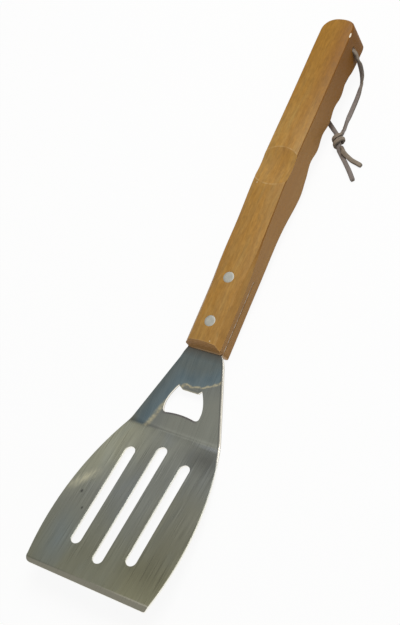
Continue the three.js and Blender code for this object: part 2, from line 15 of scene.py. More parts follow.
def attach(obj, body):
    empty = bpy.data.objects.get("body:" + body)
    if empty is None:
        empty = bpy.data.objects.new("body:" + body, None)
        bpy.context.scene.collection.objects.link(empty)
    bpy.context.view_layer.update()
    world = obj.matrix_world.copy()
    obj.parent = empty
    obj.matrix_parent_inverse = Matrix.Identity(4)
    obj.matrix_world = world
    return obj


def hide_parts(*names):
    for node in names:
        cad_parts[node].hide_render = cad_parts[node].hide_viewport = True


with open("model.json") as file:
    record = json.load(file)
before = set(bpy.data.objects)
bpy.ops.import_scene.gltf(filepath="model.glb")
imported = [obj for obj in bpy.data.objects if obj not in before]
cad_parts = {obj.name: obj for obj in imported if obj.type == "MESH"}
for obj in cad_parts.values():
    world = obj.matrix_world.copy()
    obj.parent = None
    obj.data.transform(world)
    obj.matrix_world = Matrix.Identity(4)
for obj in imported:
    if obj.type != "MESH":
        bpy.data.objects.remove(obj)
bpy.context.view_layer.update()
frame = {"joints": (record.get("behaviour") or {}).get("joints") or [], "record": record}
bpy.ops.object.select_all(action="DESELECT")
MM = 0.001

# %% [markdown]
# The camera stands where the photo was taken from: over the right side of the blade, rolled so
# that the tool lies across the picture from corner to corner. A roll is easiest to add as a turn
# about the line of sight after the camera has been aimed.

# %% Camera
CAMERA_AT = Vector((261.53, 420.06, 666.69)) * MM
CAMERA_AIM = Vector((14.98, -24.54, 0.0)) * MM
CAMERA_ROLL = math.radians(-40.29)
FOCAL_PIXELS = 1175
PHOTO_LONG_SIDE = 625
SENSOR_WIDTH = 36

bpy.ops.object.camera_add(location=CAMERA_AT)
camera = bpy.context.object
camera.rotation_mode = "QUATERNION"
aimed = (CAMERA_AIM - CAMERA_AT).to_track_quat("-Z", "Y")
camera.rotation_quaternion = aimed @ Quaternion((0, 0, 1), CAMERA_ROLL)
camera.data.sensor_width = SENSOR_WIDTH
camera.data.lens = SENSOR_WIDTH * FOCAL_PIXELS / PHOTO_LONG_SIDE
bpy.context.scene.camera = camera
print("lens", round(camera.data.lens, 2), "mm")

# %% [markdown]
# The tool is easiest to model level, with the handle's front end at zero, the blade towards +X
# and the tang's middle at height zero. On the table it leans a little: the tilt comes from the
# blade's face in the record, and the place from the joint in the lace hole.

# %% From the level tool to the table
NECK_DROOP = 4.3
BLADE_RISE = 18.6
HOLE_IN_TOOL = Vector((-250.8, 0, -3.8))

mounts = {mount["name"]: mount for mount in frame["record"]["mounts"]}
face = Vector(mounts["blade_top_face"]["axis"])
tilt = math.radians(BLADE_RISE - NECK_DROOP) - math.atan2(-face.x, face.z)
lace_hole = Vector(frame["joints"][0]["pos_m"])
lean = Matrix.Rotation(tilt, 4, "Y")
to_table = Matrix.Translation(lace_hole - lean @ (HOLE_IN_TOOL * MM)) @ lean
print("tilt", round(math.degrees(tilt), 3), "degrees")

# %% [markdown]
# Blender's operators act on whatever is selected, in the mode that is set. Two helpers see to that
# before an operator runs. The others blend numbers and measure a piece.

# %% Helpers for editing
def only(piece):
    if bpy.context.object and bpy.context.object.mode != "OBJECT":
        bpy.ops.object.mode_set(mode="OBJECT")
    bpy.ops.object.select_all(action="DESELECT")
    piece.select_set(True)
    bpy.context.view_layer.objects.active = piece


def edit(piece):
    only(piece)
    bpy.ops.object.mode_set(mode="EDIT")
    bpy.ops.mesh.select_all(action="SELECT")


def smooth(t):
    t = min(max(t, 0.0), 1.0)
    return t * t * (3 - 2 * t)


def ramp(s, start, length):
    return smooth((s - start) / length)


def between(a, b, t):
    return a + (b - a) * t


def size_of(piece):
    return tuple(round(v / MM, 1) for v in piece.dimensions)


# %% [markdown]
# The lace is one leather thong, doubled through the hole and tied. Leather lacing is cut as a
# narrow strip, so it is wider than it is thick, and it twists as it lies. A curve with a round
# bevel would give a tube, so the strip is swept along its route here with a flat section, and
# each point of the sweep keeps its own twist.

# %% Stops along the lace
LACE = 3.2
LOW = LACE / 2 + 0.1
LEG_AHEAD = Vector((1, 0, 0))
TAIL_AHEAD = Vector((0.8, 0.6, 0))
hole = lace_hole / MM
# Forward of the hole, out from the handle's middle, share of the hole's height, and which way
# the strip's broad side points there: across, and up
RIGHT_LEG = [
    (4.3, 16.7, 0.54, 1.0, 0.1), (5.8, 17.0, 0.34, 1.0, 0.0), (7.8, 17.1, 0.17, 0.8, 0.3),
    (11, 17.3, 0.05, 0.2, 1.0), (15.5, 17.8, 0, 0.8, 0.8), (21, 18.6, 0, 1.0, 0.4),
    (28, 19.1, 0, 1.0, 0.2), (36, 19.3, 0, 1.0, 0.0), (44, 19.6, 0, 1.0, -0.4),
    (49, 19.9, 0.01, 0.5, -1.0), (54, 20.7, 0.03, 0.1, -1.0),
]
LEFT_LEG = [
    (4.5, -16.7, 0.54, 0.2, 1.0), (6.6, -17.0, 0.34, 0.2, 1.0), (9.6, -16.9, 0.17, 0.2, 1.0),
    (14, -16.4, 0.05, 0.4, 1.0), (19, -15.2, 0, 1.0, 0.6), (25, -12.8, 0, 1.0, 0.2),
    (32, -9.2, 0, 1.0, 0.0), (39.5, -4.0, 0, 1.0, 0.0), (46.5, 2.6, 0, 1.0, 0.2),
    (53.5, 10.6, 0.03, 1.0, 0.3),
]
RIGHT_TAIL = [
    (73.6, 29.2, 0.1, 1.0, 0.3), (75.9, 32.7, 0.06, 1.0, 0.1), (77.8, 36.8, 0.02, 1.0, 0.0),
    (79.3, 41.3, 0, 1.0, -0.2), (80.8, 45.8, 0, 1.0, 0.1),
]
LEFT_TAIL = [
    (75.4, 27.8, 0, 1.0, 0.3), (80.0, 32.3, 0, 1.0, 0.0), (86.9, 38.8, 0, 1.0, 0.2),
    (93.8, 44.6, 0, 1.0, 0.1),
]


def on_table(stops, ahead):
    side = Vector((0, 0, 1)).cross(ahead)
    route = []
    for x, y, share, across, up in stops:
        spot = Vector((hole.x + x, y, between(LOW, hole.z, share)))
        route.append((spot, side * across + Vector((0, 0, up))))
    return route


print("stops", [len(stops) for stops in (RIGHT_LEG, RIGHT_TAIL, LEFT_LEG, LEFT_TAIL)])

# %% Way out of the hole
LACE_HOLE = 5.0
GRIP_WIDTH = 26.4
MOUTH_INSET = 4.4
MOUTH_BEND = 2 * LACE
LEAVE = Vector((0.4, 0, -1)).normalized()
BROAD_INSIDE = Vector((1, 0, 0))
BROAD_AT_MOUTH = Vector((0.93, 0, 0.37))


def out_of_hole(side):
    start = GRIP_WIDTH / 2 - MOUTH_INSET
    height = hole.z + (LACE_HOLE - LACE) / 2
    route = [(Vector((hole.x, side * y, height)), BROAD_INSIDE) for y in (0.2, start / 2)]
    for i in range(5):
        a = math.pi / 8 * i
        spot = Vector((hole.x, side * (start + MOUTH_BEND * math.sin(a)), height))
        route.append((spot + LEAVE * MOUTH_BEND * (1 - math.cos(a)), BROAD_AT_MOUTH))
    return route


# %% Way through the knot
KNOT_PLACE = Vector((66.1, 22.4, 4.5))
KNOT_TURN = Matrix.Rotation(math.radians(25), 3, "Z")
KNOT_FLATNESS = 0.85
KNOT_START = 60
KNOT_END = 80
# One strand goes straight through. The other goes twice round it: its turn in degrees, its place
# along the knot and its distance from the middle
STRAIGHT = [(-6.2, -1.1, -0.4), (-3.4, -0.7, 0.1), (0, 0.1, 0.2), (3.2, -0.2, -0.4), (6.0, -0.5, -1.6)]
WRAPS = [
    (10, -6.0, 2.5), (45, -4.9, 2.8), (90, -3.7, 3.1), (135, -2.8, 3.5), (180, -2.2, 3.9),
    (225, -1.8, 3.4), (270, -1.5, 3.0), (315, -1.5, 3.3), (360, -1.3, 3.7), (405, -0.7, 3.5),
    (450, 0.8, 3.2), (495, 2.2, 3.2), (540, 3.0, 3.1), (585, 3.4, 2.6), (640, 4.1, 2.3),
    (700, 5.7, 2.2),
]


def in_knot(local, broad):
    spot = KNOT_TURN @ Vector(local) + Vector((hole.x, 0, 0)) + KNOT_PLACE
    return spot, KNOT_TURN @ Vector(broad)


def straight_through():
    return [in_knot(spot, (0, 1, 0.2)) for spot in STRAIGHT]


def twice_round():
    route = []
    first, last = WRAPS[0][0], WRAPS[-1][0]
    for turn, along, radius in WRAPS:
        a = math.radians(turn)
        spot = (along, radius * math.cos(a), KNOT_FLATNESS * radius * math.sin(a))
        share = smooth((turn - first) / KNOT_START) * smooth((last - turn) / KNOT_END)
        route.append(in_knot(spot, (share, 0.2, 1.02 - share)))
    return route


# %% A smooth line through the stops of a route
def flowing(route, step=0.5):
    points = [stop[0] for stop in route]
    guides = [stop[1].normalized() for stop in route]
    for i in range(1, len(guides)):
        if guides[i].dot(guides[i - 1]) < 0:
            guides[i] = -guides[i]
    line, broad = [], []
    ends = [2 * points[0] - points[1]] + points + [2 * points[-1] - points[-2]]
    for n in range(len(points) - 1):
        p, a, b, q = ends[n:n + 4]
        gaps = [max((v - u).length, 1e-6) ** 0.5 for u, v in ((p, a), (a, b), (b, q))]
        leave = ((a - p) / gaps[0] - (b - p) / (gaps[0] + gaps[1]) + (b - a) / gaps[1]) * gaps[1]
        arrive = ((b - a) / gaps[1] - (q - a) / (gaps[1] + gaps[2]) + (q - b) / gaps[2]) * gaps[1]
        count = max(1, round((b - a).length / step))
        for i in range(count):
            t = i / count
            rise = smooth(t)
            pull = leave * (t * (1 - t) ** 2) + arrive * (t * t * (t - 1))
            line.append(a * (1 - rise) + b * rise + pull)
            broad.append(guides[n].lerp(guides[n + 1], t))
    return line + [points[-1].copy()], broad + [guides[-1]]


# %% Section of the strip along a line
STRIP = (3.5, 2.4)
CORNER_POWER = 0.6
KEPT_TWIST = 0.5
CUT_END = (0.74, 0.92, 0.98)
# A twist rolls the strip up here: forward of the hole and out from the handle's middle
PINCHES = [(12.5, 17.4), (50.0, 20.0), (54.0, 20.7)]
PINCH_SPREAD = 20
PINCH_SHARE = 0.33
TABLE_GAP = 0.05
SETTLE = 1.3


def strip_section(count=20):
    corners = []
    for i in range(count):
        a = 2 * math.pi * i / count
        across = math.copysign(abs(math.cos(a)) ** CORNER_POWER, math.cos(a))
        up = math.copysign(abs(math.sin(a)) ** CORNER_POWER, math.sin(a))
        corners.append((STRIP[0] / 2 * across, STRIP[1] / 2 * up))
    return corners


def sweep_rings(line, broad):
    rings, centres, lengths = [], [], []
    wide = broad[0]
    length = 0.0
    last = len(line) - 1
    for k, spot in enumerate(line):
        ahead = (line[min(k + 1, last)] - line[max(k - 1, 0)]).normalized()
        aim = broad[k] - ahead * broad[k].dot(ahead)
        kept = wide - ahead * wide.dot(ahead)
        wide = (aim + KEPT_TWIST * kept).normalized()
        thick = ahead.cross(wide)
        length += (spot - line[k - 1]).length if k else 0.0
        end = min(k, last - k)
        full = CUT_END[end] if end < len(CUT_END) else 1.0
        away = min((spot.x - hole.x - x) ** 2 + (spot.y - y) ** 2 for x, y in PINCHES)
        narrow = 1 - PINCH_SHARE * math.exp(-away / PINCH_SPREAD)
        ring = [spot + (wide * across * narrow + thick * up) * full for across, up in strip_section()]
        # On the table the strip lies on whatever side is down
        lowest = min(point.z for point in ring)
        share = smooth((LOW + SETTLE - spot.z) / SETTLE) if lowest > TABLE_GAP else 1.0
        lift = Vector((0, 0, (TABLE_GAP - lowest) * share))
        rings.append([point + lift for point in ring])
        centres.append(spot + lift)
        lengths.append(length)
    return rings, centres, lengths


# %% Skin over the sections
def sweep_strip(name, rings, lengths):
    count = len(rings[0])
    faces = []
    for k in range(len(rings) - 1):
        for j in range(count):
            a, b = k * count + j, k * count + (j + 1) % count
            faces.append((a, b, b + count, a + count))
    faces.append(tuple(reversed(range(count))))
    faces.append(tuple(range((len(rings) - 1) * count, len(rings) * count)))
    mesh = bpy.data.meshes.new(name)
    mesh.from_pydata([point * MM for ring in rings for point in ring], [], faces)
    # The strip's own map: metres along it, and its way round from 0 to 1
    layer = mesh.uv_layers.new(name="along_strip")
    for polygon in mesh.polygons:
        for corner, loop in enumerate(polygon.loop_indices):
            k, j = divmod(mesh.loops[loop].vertex_index, count)
            if len(polygon.vertices) == 4 and j == 0 and corner in (1, 2):
                j = count
            layer.data[loop].uv = (lengths[k] * MM, j / count)
    piece = bpy.data.objects.new(name, mesh)
    bpy.context.collection.objects.link(piece)
    edit(piece)
    bpy.ops.mesh.normals_make_consistent(inside=False)
    bpy.ops.object.mode_set(mode="OBJECT")
    bpy.ops.object.shade_smooth_by_angle(angle=math.radians(50))
    return piece


# %% The two halves of the lace
def lay_lace(name, side, leg, knot, tail, nodes):
    route = out_of_hole(side) + on_table(leg, LEG_AHEAD) + knot + on_table(tail, TAIL_AHEAD)
    rings, centres, lengths = sweep_rings(*flowing(route))
    piece = sweep_strip(name, rings, lengths)
    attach(piece, "lace")
    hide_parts(*nodes)
    print(name, round(lengths[-1], 1), "mm")
    return piece


right_lace = lay_lace("lace_right_half", 1, RIGHT_LEG, twice_round(), RIGHT_TAIL,
                      ("lace_right_leg", "lace_right_tail", "lace_knot"))
left_lace = lay_lace("lace_left_half", -1, LEFT_LEG, straight_through(), LEFT_TAIL,
                     ("lace_left_leg", "lace_left_tail"))

# %% [markdown]
# The blade is one piece of sheet steel. A press cuts its outline with the slots and the opener in
# one stroke, a brake bends it at the neck and at the heel, and a grinder thins the tip. It is made
# in that order here: a flat filled curve with holes gets the sheet's thickness and slightly broken
# edges, is cut across where it bends, and its points are then moved along the bent middle line.

# %% Outline of the sheet
# A pair of values is for the right side and the left
SHEET = 2.0
NECK_LENGTH = 60.0
BLADE_LENGTH = 119.5
TIP = NECK_LENGTH + BLADE_LENGTH
HEEL_HALVES = (37.9, 37.0)
TIP_HALF = 49.4
TIP_CORNERS = (1.8, 5.4)
BELLY = (NECK_LENGTH + 80.0, 53.4)
SHOULDER = 8.0
SHOULDER_HALVES = (19.1, 16.9)
NECK_ROOT = 0.25
TANG_LENGTH = 66.0
TANG_HALF = 14.25
TANG_CORNER = 9.0


def arc(x, y, radius, start, end, steps):
    turns = [between(start, end, i / steps) for i in range(steps + 1)]
    return [(x + radius * math.cos(a), y + radius * math.sin(a)) for a in turns]


def bow(a, control, b, steps):
    points = []
    for i in range(steps + 1):
        t = i / steps
        weights = ((1 - t) ** 2, 2 * t * (1 - t), t * t)
        points.append(tuple(sum(w * p[k] for w, p in zip(weights, (a, control, b))) for k in (0, 1)))
    return points


# The blade's side is the circle through its heel, its belly and its tip
def side_circle(heel_half):
    (ax, ay), (bx, by), (cx, cy) = (NECK_LENGTH, heel_half), BELLY, (TIP, TIP_HALF)
    d = 2 * (ax * (by - cy) + bx * (cy - ay) + cx * (ay - by))
    a2, b2, c2 = ax * ax + ay * ay, bx * bx + by * by, cx * cx + cy * cy
    x = (a2 * (by - cy) + b2 * (cy - ay) + c2 * (ay - by)) / d
    y = (a2 * (cx - bx) + b2 * (ax - cx) + c2 * (bx - ax)) / d
    return x, y, math.hypot(ax - x, ay - y)


def half_outline(tip_corner, shoulder_half, heel_half):
    x, y, radius = side_circle(heel_half)
    start = math.atan2(heel_half - y, NECK_LENGTH - x)
    corner_x = TIP - tip_corner
    end = math.acos((corner_x - x) / radius)
    corner_y = y + radius * math.sin(end)
    turn = (SHOULDER / 3, (TANG_HALF + shoulder_half) / 2)
    back = -TANG_LENGTH + TANG_CORNER
    points = arc(back, TANG_HALF - TANG_CORNER, TANG_CORNER, math.pi, math.pi / 2, 14)
    points += bow((NECK_ROOT, TANG_HALF), turn, (SHOULDER, shoulder_half), 12)
    points += arc(x, y, radius, start, end, 72)
    points += bow((corner_x, corner_y), (TIP, corner_y), (TIP, corner_y - tip_corner), 8)[1:]
    return points


def whole_outline():
    right, left = (half_outline(*ends) for ends in zip(TIP_CORNERS, SHOULDER_HALVES, HEEL_HALVES))
    return right + [(x, -y) for x, y in reversed(left)]


# %% Openings in the sheet
SLOT_HALF = 3.9
SLOT_PITCH = 22.8
OUTER_SLOT = (23.4, 92.6)
MIDDLE_SLOT = (16.4, 99.4)
OPENER_TOP = 27.4
OPENER_BOTTOM = 48.0
OPENER_TOP_HALF = 9.7
OPENER_BOTTOM_HALF = 15.2
OPENER_CORNER = 3.4
OPENER_BULGE = 3.8
OPENER_FLOOR_BOW = 2.2
LIP_EDGE = OPENER_TOP + 2.4
LIP_HALF = 6.3
RIVET_STATIONS = (19.3, 53.0)
RIVET_BORE = 3.0


def slot_loop(span, y):
    far = arc(NECK_LENGTH + span[1], y, SLOT_HALF, -math.pi / 2, math.pi / 2, 20)
    near = arc(NECK_LENGTH + span[0], y, SLOT_HALF, math.pi / 2, 1.5 * math.pi, 20)
    return far + near


def opener_loop():
    middle = (OPENER_TOP + OPENER_BOTTOM) / 2
    side = (OPENER_TOP_HALF + OPENER_BOTTOM_HALF) / 2 + OPENER_BULGE
    inner = OPENER_BOTTOM_HALF - OPENER_CORNER
    foot = (OPENER_BOTTOM - OPENER_CORNER, OPENER_BOTTOM_HALF)
    wall = bow((OPENER_TOP, OPENER_TOP_HALF), (middle, side), foot, 18)
    corner = bow(foot, (OPENER_BOTTOM, OPENER_BOTTOM_HALF), (OPENER_BOTTOM, inner), 10)
    half = [(LIP_EDGE, 0), (LIP_EDGE, LIP_HALF / 2), (LIP_EDGE, LIP_HALF)] + wall + corner[1:]
    dip = (OPENER_BOTTOM - OPENER_FLOOR_BOW, 0)
    floor = bow((OPENER_BOTTOM, inner), dip, (OPENER_BOTTOM, -inner), 16)
    return half + floor[1:-1] + [(x, -y) for x, y in reversed(half[1:])]


loops = [whole_outline(), opener_loop(), slot_loop(MIDDLE_SLOT, 0)]
loops += [slot_loop(OUTER_SLOT, y) for y in (SLOT_PITCH, -SLOT_PITCH)]
loops += [arc(-s, 0, RIVET_BORE, 0, 2 * math.pi, 32)[:-1] for s in RIVET_STATIONS]
print("outline points", [len(loop) for loop in loops])

# %% Cut the sheet
EDGE_BREAK = 0.3
MERGE = 0.002


def sheet_from(name, outlines, thick, edge):
    curve = bpy.data.curves.new(name, "CURVE")
    curve.dimensions = "2D"
    curve.fill_mode = "BOTH"
    for outline in outlines:
        spline = curve.splines.new("POLY")
        spline.points.add(len(outline) - 1)
        for point, (x, y) in zip(spline.points, outline):
            point.co = (x * MM, y * MM, 0, 1)
        spline.use_cyclic_u = True
    curve.extrude = (thick / 2 - edge) * MM
    curve.bevel_depth = edge * MM
    curve.bevel_resolution = 2 if edge else 0
    curve.offset = -edge * MM
    piece = bpy.data.objects.new(name, curve)
    bpy.context.collection.objects.link(piece)
    only(piece)
    bpy.ops.object.convert(target="MESH")
    piece = bpy.context.object
    edit(piece)
    bpy.ops.mesh.remove_doubles(threshold=MERGE * MM)
    bpy.ops.mesh.normals_make_consistent(inside=False)
    bpy.ops.object.mode_set(mode="OBJECT")
    return piece


blade = sheet_from("steel_blade", loops, SHEET, EDGE_BREAK)
print("flat sheet", len(blade.data.vertices), "points", size_of(blade))

# %% Cut the sheet across where it bends
NECK_BEND = 60
HEEL_BEND = 16
DROOP = NECK_BEND * math.radians(NECK_DROOP)
RISE = HEEL_BEND * math.radians(BLADE_RISE)
RISE_START = NECK_LENGTH - RISE / 2
LIP_ROOT = OPENER_TOP - 1.2
TIP_GRIND = 3.6


def cut_across(piece, stations, axis=0):
    edit(piece)
    normal = tuple(1.0 if k == axis else 0.0 for k in range(3))
    for station in stations:
        bpy.ops.mesh.select_all(action="SELECT")
        place = tuple(station * MM if k == axis else 0.0 for k in range(3))
        bpy.ops.mesh.bisect(plane_co=place, plane_no=normal, threshold=1e-7)
    bpy.ops.object.mode_set(mode="OBJECT")


stations = [-1.0] + [DROOP * i / 6 for i in range(7)] + [DROOP + 1.5]
stations += [LIP_ROOT - 1.0, LIP_ROOT] + [between(LIP_ROOT, LIP_EDGE, i / 6) for i in range(1, 6)]
stations += [RISE_START - 1.5] + [RISE_START + RISE * i / 10 for i in range(11)]
stations += [RISE_START + RISE + 1.5, TIP - TIP_GRIND - 0.6, TIP - TIP_GRIND]
cut_across(blade, stations)
print("cut sheet", len(blade.data.vertices), "points")

# %% Keep the flat place of every corner for the brushed finish
# A share of the height keeps the cut walls from having no area in the map
WALL_SHARE = 0.2
flat_height = blade.data.attributes.new("flat_height", "FLOAT", "POINT")
for vertex in blade.data.vertices:
    flat_height.data[vertex.index].value = vertex.co.z / MM
flat_map = blade.data.uv_layers.new(name="flat_sheet")
for loop in blade.data.loops:
    x, y, z = blade.data.vertices[loop.vertex_index].co
    flat_map.data[loop.index].uv = (x + WALL_SHARE * z, y + WALL_SHARE * z)
print("flat map", len(flat_map.data), "corners")

# %% Bend the sheet, press the lip and grind the tip
LIP_DROP = 1.3
TIP_EDGE = 1.35
SIDE_LINE = (
    (DROOP, -math.radians(NECK_DROOP)),
    (NECK_LENGTH - DROOP - RISE / 2, 0.0),
    (RISE, math.radians(BLADE_RISE)),
    (2 * BLADE_LENGTH, 0.0),
)


def bent(along, across, up):
    x, z, heading, left = min(along, 0.0), 0.0, 0.0, along
    for length, turn in SIDE_LINE:
        go = min(max(left, 0.0), length)
        bend = turn * go / length
        chord = 2 * (length / turn) * math.sin(bend / 2) if turn else go
        x += chord * math.cos(heading + bend / 2)
        z += chord * math.sin(heading + bend / 2)
        heading += bend
        left -= go
    return Vector((x - up * math.sin(heading), across, z + up * math.cos(heading)))


def pressed(along, across):
    if along < LIP_ROOT - 0.01 or along > LIP_EDGE + 0.3 or abs(across) > OPENER_TOP_HALF:
        return 0.0
    root = ramp(along, LIP_ROOT, LIP_EDGE - LIP_ROOT - 0.8)
    side = 1 - ramp(abs(across), LIP_HALF, OPENER_TOP_HALF - LIP_HALF)
    return LIP_DROP * root * side


for vertex in blade.data.vertices:
    x, y, z = vertex.co / MM
    share = max(0.0, (x - TIP + TIP_GRIND) / TIP_GRIND)
    thinned = 1 - share * (SHEET - TIP_EDGE) / SHEET
    z = -SHEET / 2 + (z + SHEET / 2) * thinned
    vertex.co = bent(x, y, z - pressed(x, y)) * MM
blade.data.transform(to_table)
only(blade)
bpy.ops.object.shade_smooth_by_angle(angle=math.radians(9))
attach(blade, "tool")
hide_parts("blade")
print("blade", len(blade.data.polygons), "faces", size_of(blade))

# %% [markdown]
# The handle starts as a sawn wooden bar. The maker rounds its butt in plan, band-saws the wavy
# underside with its guard and finger grooves, rounds the long edges, softly in front where the
# fingers choke up and crisply at the grip, and sands a thumb hollow across the top. The bar here
# is a filled outline that has the round butt in it. It is cut into many short lengths, moved to
# the two side profiles, and rounded by a bevel whose width is a weight on each edge.

# %% Side profile of the handle
HANDLE_LENGTH = 267.7
FRONT_WIDTH = 28.8
# Where a change along the handle starts, and how far it runs
NARROWING = (57, 42)
# Distance from the front end, and the height or depth there
TOP_HEIGHTS = [
    (0, 8.9), (60, 8.9), (84, 9.0), (104, 9.7), (124, 10.8), (140, 10.9), (166, 10.1), (208, 8.8),
    (268, 7.8),
]
BELLY_DEPTHS = [
    (0, 10.0), (60, 9.8), (90, 11.2), (120, 12.6), (150, 13.1), (190, 14.0), (230, 15.2), (250, 17.4),
    (268, 19.8),
]
CROWN = 1.3
GUARD_AT = 133
GUARD_DEPTH = 3.6
GUARD_SPREADS = (20, 12)
FINGERS = 4
FINGER_START = 158.5
FINGER_PITCH = 23.2
FINGER_DEPTH = 2.2


def flow(keys, s):
    def slope(i):
        a, b = keys[max(i - 1, 0)], keys[min(i + 1, len(keys) - 1)]
        return (b[1] - a[1]) / (b[0] - a[0])
    if s <= keys[0][0]:
        return keys[0][1]
    i = next((n for n, key in enumerate(keys) if key[0] >= s), len(keys) - 1)
    span = keys[i][0] - keys[i - 1][0]
    t = min((s - keys[i - 1][0]) / span, 1.0)
    rise = smooth(t)
    pull = span * (t * (1 - t) ** 2 * slope(i - 1) + t * t * (t - 1) * slope(i))
    return keys[i - 1][1] * (1 - rise) + keys[i][1] * rise + pull


def crest(s):
    return flow(TOP_HEIGHTS, s) + CROWN


def underside(s):
    spread = GUARD_SPREADS[0] if s < GUARD_AT else GUARD_SPREADS[1]
    guard = GUARD_DEPTH * math.exp(-(((s - GUARD_AT) / spread) ** 2))
    turn = (s - FINGER_START) / FINGER_PITCH
    groove = FINGER_DEPTH * math.cos(math.pi * turn) ** 2 if -0.5 < turn < FINGERS - 0.5 else 0.0
    return -flow(BELLY_DEPTHS, s) - guard + groove


def side_half(s):
    return between(FRONT_WIDTH, GRIP_WIDTH, ramp(s, *NARROWING)) / 2


# %% Bar with a round butt, cut into short lengths
BAR = 20
BUTT = -HANDLE_LENGTH - 0.5
BUTT_DEPTH = 9.4
BUTT_POWERS = (3.0, 2.1)
BUTT_STEPS = [0, 1.4, 2.8, 4.2, 5.6, 7.0, 8.4, 9.6, 10.7, 11.6, 12.3, 12.8, 13.1]
SPARE = 14.0
SHORT_LENGTH = 2
LONG_CUTS = (2.8, 5.6, 8.4)


def butt_outline():
    points = []
    for y in [-y for y in reversed(BUTT_STEPS[1:])] + BUTT_STEPS:
        power = BUTT_POWERS[0] if y > 0 else BUTT_POWERS[1]
        inward = (1 - abs(2 * y / GRIP_WIDTH) ** power) ** (1 / power)
        points.append((BUTT + BUTT_DEPTH * (1 - inward), y))
    return points


half = GRIP_WIDTH / 2
start = BUTT + BUTT_DEPTH
plan = [(SPARE, -half), (start, -half)] + butt_outline() + [(start, half), (SPARE, half)]
handle = sheet_from("wooden_handle", [plan], BAR, 0)
edit(handle)
bpy.ops.mesh.dissolve_limited(angle_limit=math.radians(0.5))
bpy.ops.object.mode_set(mode="OBJECT")
cut_across(handle, [10 - SHORT_LENGTH * i for i in range(134)])
cut_across(handle, [0] + [side * y for y in LONG_CUTS for side in (1, -1)], axis=1)
cut_across(handle, [-5, 0, 4], axis=2)
print("bar", len(handle.data.vertices), "points")

# %% Saw the bar to its profiles
BUTT_LEAN = 2.2
BUTT_LEANING = (240, 27)
for vertex in handle.data.vertices:
    x, y, z = vertex.co / MM
    s = max(-x, 0.0)
    wide = y * side_half(s) / (GRIP_WIDTH / 2)
    top = flow(TOP_HEIGHTS, s) + CROWN * (1 - (wide / side_half(s)) ** 2)
    share = (z + BAR / 2) / BAR
    lean_in = BUTT_LEAN * (1 - share) * ramp(s, *BUTT_LEANING)
    vertex.co = Vector((x + lean_in, wide, between(underside(s), top, share))) * MM
print("handle", size_of(handle))

# %% Round the long edges
EDGE_FRONT = 3.6
EDGE_GRIP = 0.55
EDGE_BUTT = 1.1
EDGE_BELLY = 1.5
# Again where each change starts and how far it runs
GRIP_STARTS = (46, 38)
BUTT_STARTS = (250, 14)
BELLY_ENDS = (255, 5)


def edge_rounding(mesh, edge):
    a, b = (mesh.vertices[i].co / MM for i in edge.vertices)
    s = -(a.x + b.x) / 2
    upright = abs(a.z - b.z) > 3 and abs(a.x - b.x) < 1
    if s < -SPARE + 0.1 or upright:
        return 0.0
    if (a.z + b.z) / 2 < 0:
        return between(EDGE_BELLY, EDGE_FRONT, ramp(s, *BELLY_ENDS))
    rear = between(EDGE_GRIP, EDGE_BUTT, ramp(s, *BUTT_STARTS))
    return between(EDGE_FRONT, rear, ramp(s, *GRIP_STARTS))


edit(handle)
bpy.context.tool_settings.mesh_select_mode = (False, True, False)
bpy.ops.mesh.select_all(action="DESELECT")
bpy.ops.mesh.edges_select_sharp(sharpness=math.radians(40))
bpy.ops.object.mode_set(mode="OBJECT")
weights = handle.data.attributes.new("bevel_weight_edge", "FLOAT", "EDGE")
for edge in handle.data.edges:
    if edge.select:
        weights.data[edge.index].value = edge_rounding(handle.data, edge) / EDGE_FRONT
rounding = handle.modifiers.new("long_edges", "BEVEL")
rounding.width = EDGE_FRONT * MM
rounding.segments = 6
rounding.profile = 0.27
rounding.limit_method = "WEIGHT"
rounding.use_clamp_overlap = False
only(handle)
bpy.ops.object.modifier_apply(modifier=rounding.name)
print("rounded handle", len(handle.data.vertices), "points")

# %% [markdown]
# The cuts in the handle are made with cutters, as on the real one: a slanting cut that frees the
# front end, a sanding drum for the thumb hollow, a saw for the kerf, a stepped drill for the rivets
# and a plain drill for the lace. Each cutter is a solid that a Boolean takes away.

# %% Cutters
REACH = 30


def cut_away(piece, cutter):
    step = piece.modifiers.new("cut", "BOOLEAN")
    step.operation = "DIFFERENCE"
    step.solver = "EXACT"
    step.object = cutter
    only(piece)
    bpy.ops.object.modifier_apply(modifier=step.name)
    bpy.data.objects.remove(cutter)


def drill(radius, low, high, place, lying=False, sides=64):
    bpy.ops.object.select_all(action="DESELECT")
    bpy.ops.mesh.primitive_cylinder_add(vertices=sides, radius=radius * MM, depth=(high - low) * MM)
    tool = bpy.context.object
    tool.rotation_euler = (math.pi / 2, 0, 0) if lying else (0, 0, 0)
    middle = (low + high) / 2
    tool.location = (place[0] * MM, place[1] * MM, (place[2] + middle) * MM)
    bpy.ops.object.transform_apply(location=True, rotation=True, scale=True)
    return tool


def saw(name, outline, half, lying=False):
    tool = sheet_from(name, [outline], 2 * half, 0)
    if lying:
        tool.data.transform(Matrix.Rotation(math.pi / 2, 4, "X"))
    return tool


